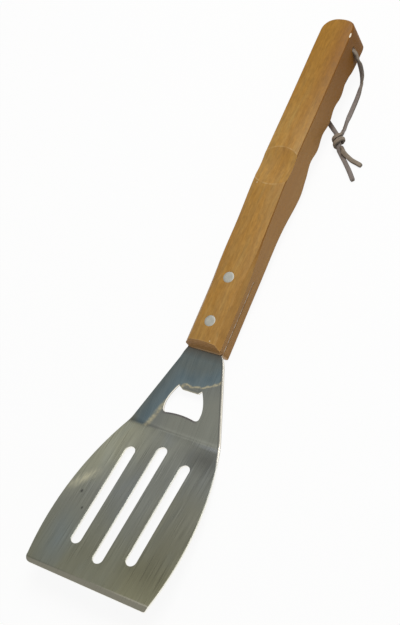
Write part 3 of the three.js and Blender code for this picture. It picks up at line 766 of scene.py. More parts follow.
# %% Front end
FRONT_ROUND = 2.6
FACE_FOOT = (0, 1.6)
FACE_BULGE = (-0.9, 6.8)
FACE_BACK = -4.2
front_top = crest(0)
slant = [(-FRONT_ROUND, -REACH)]
slant += arc(-FRONT_ROUND, underside(0) + FRONT_ROUND, FRONT_ROUND, -math.pi / 2, 0, 8)
slant += bow(FACE_FOOT, FACE_BULGE, (FACE_BACK, front_top), 14)
slant += [(2 * FACE_BACK, 2 * front_top), (REACH, 2 * front_top), (REACH, -REACH)]
cut_away(handle, saw("front_slant", slant, FRONT_WIDTH, lying=True))
inset = FRONT_WIDTH / 2 - FRONT_ROUND
cheek = arc(-FRONT_ROUND, inset, FRONT_ROUND, 0, math.pi / 2, 8)
cheek += [(-FRONT_ROUND, REACH), (REACH, REACH), (REACH, inset)]
cut_away(handle, saw("front_cheek", cheek, REACH))
cut_away(handle, saw("other_cheek", [(x, -y) for x, y in reversed(cheek)], REACH))
print("front end", len(handle.data.polygons), "faces")

# %% Thumb hollow
THUMB_AT = 142.6
THUMB_LENGTH = 31.5
THUMB_DEPTH = 2.6
thumb_radius = (THUMB_LENGTH ** 2 / 4 + THUMB_DEPTH ** 2) / (2 * THUMB_DEPTH)
drum = (-THUMB_AT, 0, crest(THUMB_AT) - THUMB_DEPTH + thumb_radius)
cut_away(handle, drill(thumb_radius, -REACH, REACH, drum, lying=True, sides=360))
print("thumb hollow of radius", round(thumb_radius, 1), "mm")

# %% Kerf, rivet seats and lace hole
KERF_HALF = SHEET / 2 + 0.06
KERF_PLAY = 0.05
RIVET_HEAD = 4.1
SEAT_PLAY = 0.03
SEAT_DEPTH = 1.45
SEAT_OVER = 8
SHANK_HOLE = 2.8

back = -TANG_LENGTH + TANG_CORNER
middle = TANG_HALF + KERF_PLAY - TANG_CORNER
kerf = arc(back, middle, TANG_CORNER + KERF_PLAY, math.pi, math.pi / 2, 14) + [(back, 20), (20, 20)]
kerf = kerf + [(x, -y) for x, y in reversed(kerf)]
cut_away(handle, saw("kerf", kerf, KERF_HALF))
for s in RIVET_STATIONS:
    high, low = crest(s), underside(s)
    cut_away(handle, drill(SHANK_HOLE, -REACH, REACH, (-s, 0, 0)))
    for seat in ((high - SEAT_DEPTH, high + SEAT_OVER), (low - SEAT_OVER, low + SEAT_DEPTH)):
        cut_away(handle, drill(RIVET_HEAD + SEAT_PLAY, *seat, (-s, 0, 0)))
cut_away(handle, drill(LACE_HOLE / 2, -REACH, REACH, HOLE_IN_TOOL, lying=True, sides=48))
edit(handle)
bpy.ops.mesh.remove_doubles(threshold=MERGE / 2 * MM)
bpy.ops.object.mode_set(mode="OBJECT")
handle.data.transform(to_table)
bpy.ops.object.shade_smooth_by_angle(angle=math.radians(15))
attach(handle, "tool")
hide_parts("handle")
print("handle", len(handle.data.polygons), "faces")

# %% [markdown]
# Cutler's rivets come in two halves that are pressed into each other: a socket with a shank from
# the top and a post from below. Both heads are sanded flush with the wood, so each is a flat disc
# with a hair-thin broken rim. A socket and a post are turned from a cylinder each, by insetting and
# extruding one end and raising the other a little, and are then copied to the two stations.

# %% One socket and one post
HEAD_THICK = 1.4
SHANK_LENGTH = 12.0
SOCKET_SHANK = 2.7
POST_SHANK = 1.6
# How far in from the last ring, and how far up, for the broken rim and the low crown of the head
HEAD_RINGS = ((0.14, 0.05), (1.2, 0.03), (1.4, 0.02))


def pick_faces(mesh, wanted):
    for part in (mesh.vertices, mesh.edges, mesh.polygons):
        part.foreach_set("select", [False] * len(part))
    for polygon in mesh.polygons:
        polygon.select = wanted(polygon)


def rivet_half(shank):
    bpy.ops.object.select_all(action="DESELECT")
    bpy.ops.mesh.primitive_cylinder_add(vertices=72, radius=RIVET_HEAD * MM, depth=HEAD_THICK * MM)
    piece = bpy.context.object
    pick_faces(piece.data, lambda face: face.normal.z < -0.9)
    bpy.ops.object.mode_set(mode="EDIT")
    bpy.context.tool_settings.mesh_select_mode = (False, False, True)
    bpy.ops.mesh.inset(thickness=(RIVET_HEAD - shank) * MM)
    bpy.ops.mesh.extrude_region_move(TRANSFORM_OT_translate={"value": (0, 0, -SHANK_LENGTH * MM)})
    bpy.ops.object.mode_set(mode="OBJECT")
    pick_faces(piece.data, lambda face: face.normal.z > 0.9 and face.center.z > 0)
    bpy.ops.object.mode_set(mode="EDIT")
    for inset, lift in HEAD_RINGS:
        bpy.ops.mesh.inset(thickness=inset * MM)
        bpy.ops.transform.translate(value=(0, 0, lift * MM))
    bpy.ops.object.mode_set(mode="OBJECT")
    bpy.ops.object.shade_smooth_by_angle(angle=math.radians(28))
    return piece


socket_half = rivet_half(SOCKET_SHANK)
post_half = rivet_half(POST_SHANK)
print("rivet halves of", len(socket_half.data.polygons), "faces")

# %% Rivets in their seats
HEAD_BELOW_CREST = 0.8
HEAD_ABOVE_BELLY = 0.7


def set_rivet(model, name, station, height, turn, node):
    piece = bpy.data.objects.new(name, model.data.copy())
    bpy.context.collection.objects.link(piece)
    place = Matrix.Translation(Vector((-station, 0, height)) * MM) @ Matrix.Rotation(turn, 4, "X")
    piece.data.transform(to_table @ place)
    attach(piece, "tool")
    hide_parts(node)
    return piece


rivets = []
for which, s in zip(("front", "rear"), RIVET_STATIONS):
    high, low = crest(s) - HEAD_BELOW_CREST, underside(s) + HEAD_ABOVE_BELLY
    rivets.append(set_rivet(socket_half, which + "_rivet_top", s, high, 0, which + "_rivet_socket"))
    rivets.append(set_rivet(post_half, which + "_rivet_bottom", s, low, math.pi, which + "_rivet_post"))
for model in (socket_half, post_half):
    bpy.data.objects.remove(model)
print("rivets", [piece.name for piece in rivets])

# %% [markdown]
# Finishes. Each material below is built from nodes, with its pattern sizes in millimetres. Object
# coordinates are in metres on the table, so a Mapping node first turns them back into millimetres
# of the level tool. The colours are written as they look on the screen; a metal only mirrors the
# grey room, so its own colour is written lighter than the metal looks.

# %% Helpers for finishes
def shade(text):
    def channel(k):
        c = int(text[k:k + 2], 16) / 255
        return c / 12.92 if c <= 0.04045 else ((c + 0.055) / 1.055) ** 2.4
    return (channel(1), channel(3), channel(5), 1.0)


# Another node's output is linked, a text is a colour, None leaves the socket alone
def feed(tree, socket, value):
    if isinstance(value, bpy.types.NodeSocket):
        tree.links.new(value, socket)
    elif value is not None:
        socket.default_value = shade(value) if isinstance(value, str) else value


# Values go to the node's sockets in order
def add(tree, kind, *values, stops=(), **settings):
    node = tree.nodes.new("ShaderNode" + kind)
    for name, value in settings.items():
        setattr(node, name, value)
    for socket, value in zip([socket for socket in node.inputs if socket.enabled], values):
        feed(tree, socket, value)
    for n, (position, colour) in enumerate(stops):
        if n >= len(node.color_ramp.elements):
            node.color_ramp.elements.new(position)
        node.color_ramp.elements[n].position = position
        node.color_ramp.elements[n].color = shade(colour)
    return next(socket for socket in node.outputs if socket.enabled)


def new_finish(name, colour):
    finish = bpy.data.materials.new(name)
    finish.use_nodes = True
    finish.diffuse_color = shade(colour)
    tree = finish.node_tree
    return finish, tree, tree.nodes["Principled BSDF"]


def wear(finish, surface, sockets, *pieces):
    for name, value in sockets.items():
        feed(finish.node_tree, surface.inputs[name], value)
    for piece in pieces:
        piece.data.materials.clear()
        piece.data.materials.append(finish)
    print(finish.name, len(finish.node_tree.nodes), "nodes")


# %% Patterns that the finishes share
def level_place(tree):
    spot = add(tree, "TexCoord").node.outputs["Object"]
    back = tuple(to_table.inverted().translation / MM)
    return add(tree, "Mapping", spot, back, (0, -tilt, 0), (1 / MM, 1 / MM, 1 / MM))


# Noise mostly lies between these two values
LUMPS = (0.3, 0.7)


# Noise whose soft lumps have this size in millimetres
def grain(tree, place, size, detail=2.0, wander=0.0):
    scaled = add(tree, "VectorMath", place, tuple(1 / v for v in size), operation="MULTIPLY")
    return add(tree, "TexNoise", scaled, 1.0, detail, 0.5, 2.0, wander)


# 1 in the middle of a spot, 0 from its edge on
def spot_mark(tree, place, middle, size, core=0.3):
    moved = add(tree, "VectorMath", place, middle, operation="SUBTRACT")
    scaled = add(tree, "VectorMath", moved, tuple(1 / v for v in size), operation="MULTIPLY")
    far = add(tree, "VectorMath", scaled, operation="LENGTH")
    return add(tree, "MapRange", far, core, 1.0, 1.0, 0.0)


# %% [markdown]
# The handle is a close-grained hardwood, planed, sanded and varnished. The eye gets a warm
# yellow-brown with faint lengthwise streaks, short soft flecks, a pinker brown on the sawn sides,
# darker end grain and a half-gloss coat. Painted shade darkens the sawn sides, the grip's upper
# edges and the right of the top at the rear, and a painted highlight runs along the sharp edges.
# Streaks are noise stretched along the handle, about 4 mm wide; flecks are about 7 mm long. Pores
# are drawn 0.4 mm wide, coarser than real ones, to show.

# %% Varnished hardwood: grain
# Sizes along the handle, across it and up
STREAK = (130, 4.2, 4.2)
MOTTLE = (26, 4, 4)
CLOUD = (42, 9, 9)
FLECK = (7, 1.1, 1.1)
DAPPLE = (3.4, 2.2, 2.2)
PORE = (5, 0.4, 0.4)

hardwood, tree, surface = new_finish("varnished_hardwood", "#A27D44")
place = level_place(tree)
at = add(tree, "SeparateXYZ", place).node.outputs
streaks = grain(tree, place, STREAK, 3.0, 0.3)
wood = add(tree, "ValToRGB", streaks, stops=[(0.30, "#9D743A"), (0.50, "#A27B3F"), (0.70, "#A88445")])
mottle = add(tree, "MapRange", grain(tree, place, MOTTLE, 4.0, 0.4), 0.4, 0.64, 0.0, 0.75)
cloud = add(tree, "MapRange", grain(tree, place, CLOUD, 3.0, 0.5), 0.42, 0.64, 0.0, 0.55)
# The rear is darker towards the butt, and painted shade darkens the right of its top to dim the sheen
# there
rear = add(tree, "MapRange", at["X"], -165, -245, 0.0, 0.9)
sheen_shade = add(tree, "MapRange", at["X"], -165, -235, 0.0, 0.9)
sheen_shade = add(tree, "Math", sheen_shade, add(tree, "MapRange", at["Y"], -1, 8), operation="MULTIPLY")
for share, colour in ((mottle, "#A97A33"), (cloud, "#9C6F2E"), (rear, "#976A20"), (sheen_shade, "#875708")):
    wood = add(tree, "Mix", share, wood, colour, data_type="RGBA")
flecks = grain(tree, place, FLECK)
dapples = grain(tree, place, DAPPLE, 3.0)
pores = grain(tree, place, PORE, 1.0)
for tone in (
    (flecks, *LUMPS, 0.9, 1.11), (dapples, *LUMPS, 0.92, 1.08), (pores, 0.62, 0.74, 1.0, 0.84),
):
    wood = add(tree, "VectorMath", wood, add(tree, "MapRange", *tone), operation="SCALE")
print("grain", len(tree.nodes), "nodes")

# %% Varnished hardwood: sawn sides and end grain
RING = (3, 2.4, 0.7)
EDGE_FACING = 0.66
facing = add(tree, "NewGeometry").node.outputs["Normal"]
normal = add(tree, "SeparateXYZ", facing).node.outputs
aside = add(tree, "Math", normal["Y"], operation="ABSOLUTE")
# The sawn sides get a pinker brown, darkened by painted shade, most towards the rear
sawn_and_shaded = add(tree, "Mix", rear, "#9E774F", "#6C451A", data_type="RGBA")
share = add(tree, "MapRange", aside, 0.6, 0.97, 0.0, 0.65)
wood = add(tree, "Mix", share, wood, sawn_and_shaded, data_type="RGBA")
# Painted shade gives the crisp upper edges of the grip a darker line
edge_shade = add(tree, "Math", aside, EDGE_FACING, operation="SUBTRACT")
edge_shade = add(tree, "Math", edge_shade, operation="ABSOLUTE")
edge_shade = add(tree, "MapRange", edge_shade, 0.15, 0.32, 0.75, 0.0)
for fade in ((normal["Z"], 0.1, 0.3), (at["X"], -84, -62, 1.0, 0.0)):
    edge_shade = add(tree, "Math", edge_shade, add(tree, "MapRange", *fade), operation="MULTIPLY")
wood = add(tree, "Mix", edge_shade, wood, "#744A1E", data_type="RGBA")
rings = add(tree, "MapRange", grain(tree, place, RING, 3.0, 0.8), 0.35, 0.65)
end_grain = add(tree, "Mix", rings, "#B6824E", "#C69664", data_type="RGBA")
share = add(tree, "MapRange", normal["X"], 0.25, 0.9, 0.0, 0.7)
wood = add(tree, "Mix", share, wood, end_grain, data_type="RGBA")
# The foot of the front end catches light off the steel
foot = add(tree, "MapRange", at["Z"], 2.2, 3.8, 0.8, 0.0)
for fade in ((at["Y"], -13, -4), (normal["X"], 0.5, 0.8)):
    foot = add(tree, "Math", foot, add(tree, "MapRange", *fade), operation="MULTIPLY")
wood = add(tree, "Mix", foot, wood, "#EFC69A", data_type="RGBA")
print("with sides and ends", len(tree.nodes), "nodes")

# %% Varnished hardwood: pale rim of the thumb hollow
# The rim is where the crowned top is as high as the drum that sanded the hollow
THUMB_REACH = 14
before, after = (flow(TOP_HEIGHTS, THUMB_AT + step) for step in (-THUMB_REACH, THUMB_REACH))
rise = (after - before) / (2 * THUMB_REACH)
sag = ((after + before) / 2 - flow(TOP_HEIGHTS, THUMB_AT)) / THUMB_REACH ** 2 - 0.5 / thumb_radius
behind = add(tree, "Math", at["X"], -1.0, -THUMB_AT, operation="MULTIPLY_ADD")
bulge = add(tree, "Math", behind, behind, operation="MULTIPLY")
crown = add(tree, "Math", at["Y"], at["Y"], operation="MULTIPLY")
gap = THUMB_DEPTH
for part, factor in ((behind, rise), (bulge, sag), (crown, -CROWN / (GRIP_WIDTH / 2) ** 2)):
    gap = add(tree, "Math", part, factor, gap, operation="MULTIPLY_ADD")
rim = add(tree, "MapRange", add(tree, "Math", gap, operation="ABSOLUTE"), 0.05, 0.2, 1.0, 0.0)
for fade in ((grain(tree, place, (6, 4, 4)), 0.36, 0.62, 0.1, 0.7), (normal["Z"], 0.8, 0.9)):
    rim = add(tree, "Math", rim, add(tree, "MapRange", *fade), operation="MULTIPLY")
wood = add(tree, "Mix", rim, wood, "#BE9C68", data_type="RGBA")
print("with the rim", len(tree.nodes), "nodes")

# %% Varnished hardwood: painted highlights on the edges and marks of use
# A sharp edge is where the rounded normal leaves the true one
rounded = add(tree, "Bevel", 0.002, samples=6)
kept = add(tree, "VectorMath", rounded, facing, operation="DOT_PRODUCT")
# A pale line along the sharp edges is a painted highlight
edge_highlight = add(tree, "MapRange", kept, 0.97, 0.86, 0.0, 0.5)
for fade in ((at["X"], -12, -8), (normal["Z"], 0.3, 0.5)):
    edge_highlight = add(tree, "Math", edge_highlight, add(tree, "MapRange", *fade), operation="MULTIPLY")
wood = add(tree, "Mix", edge_highlight, wood, "#D0A870", data_type="RGBA")
# Middle, half sizes, how sharp, and colour
MARKS = [
    ((-255.6, 13.0, 8.0), (2.7, 0.8, 0.8), 0.75, "#EDE4D2"),
    ((-126.4, -8.6, 10), (0.9, 0.9, 3), 0.3, "#D3C2A0"),
    ((-5.4, 6.1, 9.5), (0.7, 0.6, 2), 0.3, "#D3C2A0"),
    ((-229, 10.1, 9), (3.4, 1.9, 3), -0.9, "#7A5420"),
    # The dark mark in the rear of the thumb hollow is painted shade
    ((-156, 1.3, 9), (3.0, 1.9, 4), -0.6, "#73502C"),
]
for *mark, colour in MARKS:
    wood = add(tree, "Mix", spot_mark(tree, place, *mark), wood, colour, data_type="RGBA")
print("marks", len(MARKS))

# %% Varnished hardwood: coat
relief = add(tree, "Bump", 0.25, 0.00008)
feed(tree, relief.node.inputs["Height"], pores)
wear(hardwood, surface, {
    "Base Color": wood,
    "Roughness": add(tree, "MapRange", flecks, *LUMPS, 0.36, 0.52),
    "Specular IOR Level": add(tree, "MapRange", aside, 0.55, 0.92, 0.3, 0.08),
    "Coat Weight": add(tree, "MapRange", aside, 0.3, 0.8, 0.08, 0.0),
    "Coat Roughness": 0.25,
    "Normal": relief,
}, handle)

# %% [markdown]
# The blade is stainless steel with a satin finish, brushed along its length. The eye gets fine
# straight lines, broad soft bands and bluish patches. The room's reflections are painted into the
# colour: an olive tint, lighter and darker areas, a darker blue reflection on the upper neck that
# ends in a pale line, and bright cut edges. The brush lines belong to the flat sheet, so they are
# drawn in its flat map and bend with it. They are drawn 0.4 mm wide, coarser than real ones, to show.

# %% Brushed stainless steel: painted reflections on the blade
steel, tree, surface = new_finish("brushed_stainless_steel", "#73746A")
chart = add(tree, "UVMap", uv_map="flat_sheet")
place = add(tree, "VectorMath", chart, 1 / MM, operation="SCALE")
at = add(tree, "SeparateXYZ", place).node.outputs
# The tones are painted reflections of the room, lighter towards the left of the heel
front = add(tree, "MapRange", at["X"], 115, 160)
metal = add(tree, "Mix", front, "#989A92", "#979784", data_type="RGBA")
corner = add(tree, "VectorMath", place, (1, 0.85, 0), operation="DOT_PRODUCT")
bright_reflection = add(tree, "MapRange", corner, 66, 92, 1.0, 0.0)
left = add(tree, "MapRange", at["Y"], -32, -4, 1.0, 0.2)
bright_reflection = add(tree, "Math", bright_reflection, left, operation="MULTIPLY")
metal = add(tree, "Mix", bright_reflection, metal, "#B0B09C", data_type="RGBA")
# A painted darker reflection on the right, fading out towards the tip, and painted shade just past the
# bend
away = add(tree, "MapRange", at["Y"], 6, 36, 1.0, 0.79)
away = add(tree, "Math", away, add(tree, "MapRange", at["Y"], -32, -10, 1.0, 0.9), operation="MULTIPLY")
away = add(tree, "Mix", add(tree, "MapRange", at["X"], 158, 175), away, 1.0)
for tone in (away, add(tree, "MapRange", at["X"], 61.5, 67, 0.88, 1.0)):
    metal = add(tree, "VectorMath", metal, tone, operation="SCALE")
# Painted reflections: a dark one on the right, a pale one just past the bend, an olive one on the right
# and a cool one on the left near the tip
dark_reflection = spot_mark(tree, place, (72, 34, 0), (14, 24, 1), 0.0)
metal = add(tree, "Mix", dark_reflection, metal, "#6B6C67", data_type="RGBA")
pale_reflection = spot_mark(tree, place, (63, 38, 0), (2.4, 22, 1), 0.0)
pale_reflection = add(tree, "Math", pale_reflection, 0.4, operation="MULTIPLY")
metal = add(tree, "Mix", pale_reflection, metal, "#B9BDC0", data_type="RGBA")
olive_reflection = add(tree, "VectorMath", metal, (1.03, 1.0, 0.9), operation="MULTIPLY")
right = add(tree, "MapRange", at["X"], 92, 108)
right = add(tree, "Math", right, add(tree, "MapRange", at["Y"], 12, 28), operation="MULTIPLY")
metal = add(tree, "Mix", right, metal, olive_reflection, data_type="RGBA")
cool_reflection = spot_mark(tree, place, (158, -35, 0), (30, 15, 1), 0.0)
metal = add(tree, "Mix", cool_reflection, metal, "#909896", data_type="RGBA")
print("tones", len(tree.nodes), "nodes")

# %% Brushed stainless steel: brush lines and ground tip
# Sizes along the blade and across it
BRUSH_LINE = (34, 0.4, 1)
BRUSH_BAND = (120, 3.0, 1)
PATCH = (40, 14, 1)
lines = grain(tree, place, BRUSH_LINE, 4.0)
bands = grain(tree, place, BRUSH_BAND)
patches = grain(tree, place, PATCH, 3.0, 0.5)
strong = add(tree, "MapRange", lines, *LUMPS, 0.78, 1.2)
weak = add(tree, "MapRange", lines, *LUMPS, 0.9, 1.1)
scratched = add(tree, "Mix", add(tree, "MapRange", at["X"], 68, 100), strong, weak)
for tone in (scratched, add(tree, "MapRange", bands, *LUMPS, 0.96, 1.04)):
    metal = add(tree, "VectorMath", metal, tone, operation="SCALE")
bluish = add(tree, "VectorMath", metal, (0.94, 1.0, 1.18), operation="MULTIPLY")
share = add(tree, "MapRange", patches, 0.5, 0.7, 0.0, 0.35)
metal = add(tree, "Mix", share, metal, bluish, data_type="RGBA")
ground = add(tree, "VectorMath", place, (1, 0.02, 0), operation="DOT_PRODUCT")
ground = add(tree, "MapRange", ground, TIP - TIP_GRIND - 0.2, TIP - TIP_GRIND + 0.6, 0.0, 0.9)
metal = add(tree, "Mix", ground, metal, "#BEBAAA", data_type="RGBA")
print("with brush lines", len(tree.nodes), "nodes")

# %% Brushed stainless steel: painted blue reflection on the neck
# Its border is a circle above and a straight line beside it: middle and radius, direction and place
NECK_CURVE = ((-13.6, -4, 0), 40)
NECK_SIDE = ((0.386, 0.92, 0), 2.2)
NECK_TONES = [
    (0.0, "#909A99"), (0.2, "#92A3A9"), (0.31, "#95A7AE"), (0.345, "#A6AAA5"), (0.45, "#ACAFA8"),
    (0.75, "#B8BAAF"),
]
over = add(tree, "VectorMath", place, NECK_CURVE[0], operation="DISTANCE")
over = add(tree, "Math", over, NECK_CURVE[1], operation="SUBTRACT")
beside = add(tree, "VectorMath", place, NECK_SIDE[0], operation="DOT_PRODUCT")
beside = add(tree, "Math", beside, NECK_SIDE[1], operation="SUBTRACT")
inside = add(tree, "Math", over, beside, 6.0, operation="SMOOTH_MIN")
waver = add(tree, "MapRange", grain(tree, place, (9, 6, 1), 3.0), *LUMPS, -1.0, 1.0)
steady = add(tree, "MapRange", at["Y"], -16, -8, 0.25, 1.0)
inside = add(tree, "Math", waver, steady, inside, operation="MULTIPLY_ADD")
neck = add(tree, "ValToRGB", add(tree, "MapRange", inside, -12, 24), stops=NECK_TONES)
clouded = add(tree, "VectorMath", neck, (0.8, 0.84, 0.88), operation="MULTIPLY")
share = add(tree, "MapRange", grain(tree, place, (15, 4, 1), 3.0, 0.4), 0.42, 0.62, 0.0, 0.7)
share = add(tree, "Math", share, add(tree, "MapRange", inside, -4, 0.0, 1.0, 0.0), operation="MULTIPLY")
neck = add(tree, "Mix", share, neck, clouded, data_type="RGBA")
fine = add(tree, "MapRange", lines, *LUMPS, 0.93, 1.07)
neck = add(tree, "VectorMath", neck, fine, operation="SCALE")
# Painted reflection of the handle where the neck leaves it
handle_reflection = add(tree, "MapRange", at["X"], 0.5, 7.0, 0.75, 0.0)
neck = add(tree, "Mix", handle_reflection, neck, "#756C60", data_type="RGBA")
# The painted reflection ends in a pale line, broken, and broader on the left
edge = add(tree, "Math", add(tree, "Math", inside, 0.4, operation="SUBTRACT"), operation="ABSOLUTE")
edge = add(tree, "MapRange", edge, 0.2, add(tree, "MapRange", at["Y"], -18, -8, 2.6, 1.0), 1.0, 0.0)
broken = add(tree, "MapRange", grain(tree, place, (2.4, 3.4, 1)), 0.36, 0.58, 0.3, 0.85)
share = add(tree, "Math", edge, broken, operation="MULTIPLY")
neck = add(tree, "Mix", share, neck, "#FFF4CD", data_type="RGBA")
olive = spot_mark(tree, place, (60, -39, 0), (8, 9, 1), 0.3)
olive = add(tree, "Math", olive, 0.9, operation="MULTIPLY")
neck = add(tree, "Mix", olive, neck, "#A3A392", data_type="RGBA")
metal = add(tree, "Mix", add(tree, "MapRange", at["X"], 60.4, 62.4), neck, metal, data_type="RGBA")
print("with the neck", len(tree.nodes), "nodes")

# %% Brushed stainless steel: painted shade at the bend and painted light on the rims
# The painted shade along the bend is broad and deep on the left and runs out to the right
BEND_LINE = 60.6
bend_shade = add(tree, "Math", at["X"], BEND_LINE, operation="SUBTRACT")
bend_shade = add(tree, "Math", bend_shade, operation="ABSOLUTE")
width = add(tree, "MapRange", at["Y"], -30, -8, 3.2, 1.0)
bend_shade = add(tree, "Math", bend_shade, width, operation="DIVIDE")
depth = add(tree, "MapRange", at["Y"], -30, 26, 0.54, 0.76)
bend_shade = add(tree, "MapRange", bend_shade, 0.0, 1.0, depth, 1.0)
metal = add(tree, "VectorMath", metal, bend_shade, operation="SCALE")
# A press rolls the rim of a cut over. Along the neck's right edge that rim is painted: a dark line of
# painted reflection with a bright painted reflection beside it
SIDE_SLOPE = (HEEL_HALVES[0] - SHOULDER_HALVES[0]) / (NECK_LENGTH - SHOULDER)
side_edge = SHOULDER_HALVES[0] - SIDE_SLOPE * SHOULDER
on_neck = add(tree, "MapRange", at["X"], 62, 75, 1.0, 0.0)
rim = add(tree, "VectorMath", place, (-SIDE_SLOPE, 1, 0), operation="DOT_PRODUCT")
for low, high, amount, colour in ((1.9, 1.3, 0.6, "#5A5A5E"), (1.0, 0.7, 0.85, "#FFF9EA")):
    painted_rim = add(tree, "MapRange", rim, side_edge - low, side_edge - high, 0.0, amount)
    painted_rim = add(tree, "Math", painted_rim, on_neck, operation="MULTIPLY")
    metal = add(tree, "Mix", painted_rim, metal, colour, data_type="RGBA")
# A painted dark line of shade runs along the floor of the opener
floor_bow = OPENER_FLOOR_BOW / 2 / (OPENER_BOTTOM_HALF - OPENER_CORNER) ** 2
squared = add(tree, "Math", at["Y"], at["Y"], operation="MULTIPLY")
painted_rim = add(tree, "Math", squared, -floor_bow, at["X"], operation="MULTIPLY_ADD")
painted_rim = add(tree, "MapRange", painted_rim, OPENER_BOTTOM - 0.1, OPENER_BOTTOM + 0.7, 0.6, 0.0)
for fade in (
    (squared, 11 ** 2, 15 ** 2, 1.0, 0.0), (at["X"], OPENER_BOTTOM - 2.5, OPENER_BOTTOM - 1.5),
):
    painted_rim = add(tree, "Math", painted_rim, add(tree, "MapRange", *fade), operation="MULTIPLY")
metal = add(tree, "Mix", painted_rim, metal, "#6E5F6C", data_type="RGBA")
# A painted highlight runs along the lip's edge
lip_highlight = add(tree, "MapRange", at["X"], LIP_EDGE - 0.9, LIP_EDGE - 0.4, 0.0, 0.55)
for fade in ((at["X"], LIP_EDGE + 0.3, LIP_EDGE + 0.6, 1.0, 0.0), (squared, 7 ** 2, 9 ** 2, 1.0, 0.0)):
    lip_highlight = add(tree, "Math", lip_highlight, add(tree, "MapRange", *fade), operation="MULTIPLY")
metal = add(tree, "Mix", lip_highlight, metal, "#F0E8CC", data_type="RGBA")
print("with rims", len(tree.nodes), "nodes")

# %% Brushed stainless steel: painted light and shade on the cut edges
facing = add(tree, "NewGeometry").node.outputs["Normal"]
normal = add(tree, "SeparateXYZ", facing).node.outputs
upright = add(tree, "Math", normal["Z"], operation="ABSOLUTE")
upright = add(tree, "MapRange", upright, 0.4, 0.8, 1.0, 0.0)
# The lower half of the cut walls along the neck gets painted shade
lower_wall_shade = add(tree, "Attribute", attribute_name="flat_height").node.outputs["Fac"]
lower_wall_shade = add(tree, "MapRange", lower_wall_shade, -0.4, 0.0, 1.0, 0.0)
lower_wall_shade = add(tree, "Math", lower_wall_shade, on_neck, operation="MULTIPLY")
# The cut walls are painted near-white as a reflection of the room
lit_cut_edge = add(tree, "Mix", on_neck, "#FBF8F0", "#FFF9EA", data_type="RGBA")
lit_cut_edge = add(tree, "Mix", lower_wall_shade, lit_cut_edge, "#9A948C", data_type="RGBA")
metal = add(tree, "Mix", upright, metal, lit_cut_edge, data_type="RGBA")
print("with cut edges", len(tree.nodes), "nodes")

# %% Brushed stainless steel: glint, marks of use and the edge of the tang
# The glint's line is a direction and a place along it; a spot is its middle and its half sizes
GLINT_LINE = ((0.64, 0.768, 0), 38.75)
GLINT_SPOT = ((113, -43, 0), (15, 15, 1))
SPECKS = (((121.7, -39.1, 0), (1.9, 1.3, 1)), ((132.6, -31.7, 0), (1.4, 1.0, 1)))
WORN_AT = 0.25
glint = add(tree, "VectorMath", place, GLINT_LINE[0], operation="DOT_PRODUCT")
glint = add(tree, "Math", glint, GLINT_LINE[1], operation="SUBTRACT")
glint = add(tree, "Math", glint, operation="ABSOLUTE")
glint = add(tree, "MapRange", glint, 0.0, 5.0, 0.9, 0.0)
streaky = add(tree, "MapRange", grain(tree, place, (9, 1.6, 1), 3.0), 0.38, 0.6, 0.15, 1.0)
for share in (streaky, spot_mark(tree, place, *GLINT_SPOT)):
    glint = add(tree, "Math", glint, share, operation="MULTIPLY")
metal = add(tree, "Mix", glint, metal, "#E9E4C6", data_type="RGBA")
for speck in SPECKS:
    share = add(tree, "Math", spot_mark(tree, place, *speck), 0.85, operation="MULTIPLY")
    metal = add(tree, "Mix", share, metal, "#4A4A48", data_type="RGBA")
# A worn line of bare steel along the tang's edge, in varnish that has run over it
height = add(tree, "SeparateXYZ", level_place(tree)).node.outputs["Z"]
worn = add(tree, "Math", add(tree, "Math", height, WORN_AT, operation="SUBTRACT"), operation="ABSOLUTE")
worn = add(tree, "MapRange", worn, 0.1, 0.4, 1.0, 0.0)
broken = grain(tree, place, (2.2, 9, 1), 3.0)
for fade in ((broken, 0.42, 0.62, 0.1, 0.7), (at["X"], -60, -30, 0.8, 1.0)):
    worn = add(tree, "Math", worn, add(tree, "MapRange", *fade), operation="MULTIPLY")
tang = add(tree, "Mix", worn, "#80603C", "#CCC5B6", data_type="RGBA")
metal = add(tree, "Mix", add(tree, "MapRange", at["X"], 0.0, 0.5), tang, metal, data_type="RGBA")
print("specks", len(SPECKS))

# %% Brushed stainless steel: gloss across the brush lines
wear(steel, surface, {
    "Base Color": metal,
    "Metallic": 1.0,
    "Roughness": add(tree, "MapRange", lines, *LUMPS, 0.26, 0.36),
    "Anisotropic": add(tree, "MapRange", upright, 0.0, 0.5, 0.5, 0.0),
    "Anisotropic Rotation": 0.25,
    "Tangent": add(tree, "Tangent", direction_type="UV_MAP", uv_map="flat_sheet"),
}, blade)

# %% [markdown]
# The rivets are aluminium, sanded flush with the wood and left dull. The eye gets a pale matt disc
# with fine sanding marks along the handle. A skin of oxide hides some of the mirror, so the finish
# is only partly metallic.

# %% Sanded aluminium
SANDING_MARK = (5, 0.3, 0.3)
aluminium, tree, surface = new_finish("sanded_aluminium", "#ABABA1")
place = level_place(tree)
marks = grain(tree, place, SANDING_MARK, 3.0)
cloud = add(tree, "MapRange", grain(tree, place, (3, 2, 2), 3.0), *LUMPS, 0.92, 1.06)
metal = add(tree, "ValToRGB", marks, stops=[(0.3, "#B6B5AB"), (0.5, "#BDBCB3"), (0.7, "#C3C2B9")])
metal = add(tree, "VectorMath", metal, cloud, operation="SCALE")
wear(aluminium, surface, {
    "Base Color": metal,
    "Metallic": 0.75,
    "Roughness": add(tree, "MapRange", marks, *LUMPS, 0.5, 0.65),
}, *rivets)

# %% [markdown]
# The lace is undyed leather, grey on its grain side and tan on its flesh side, with cut edges that
# have gone dark. The eye gets a matt strip with lengthwise fibres and small cross wrinkles. The
# pattern follows the strip: its length and its way round come from the strip's own map.

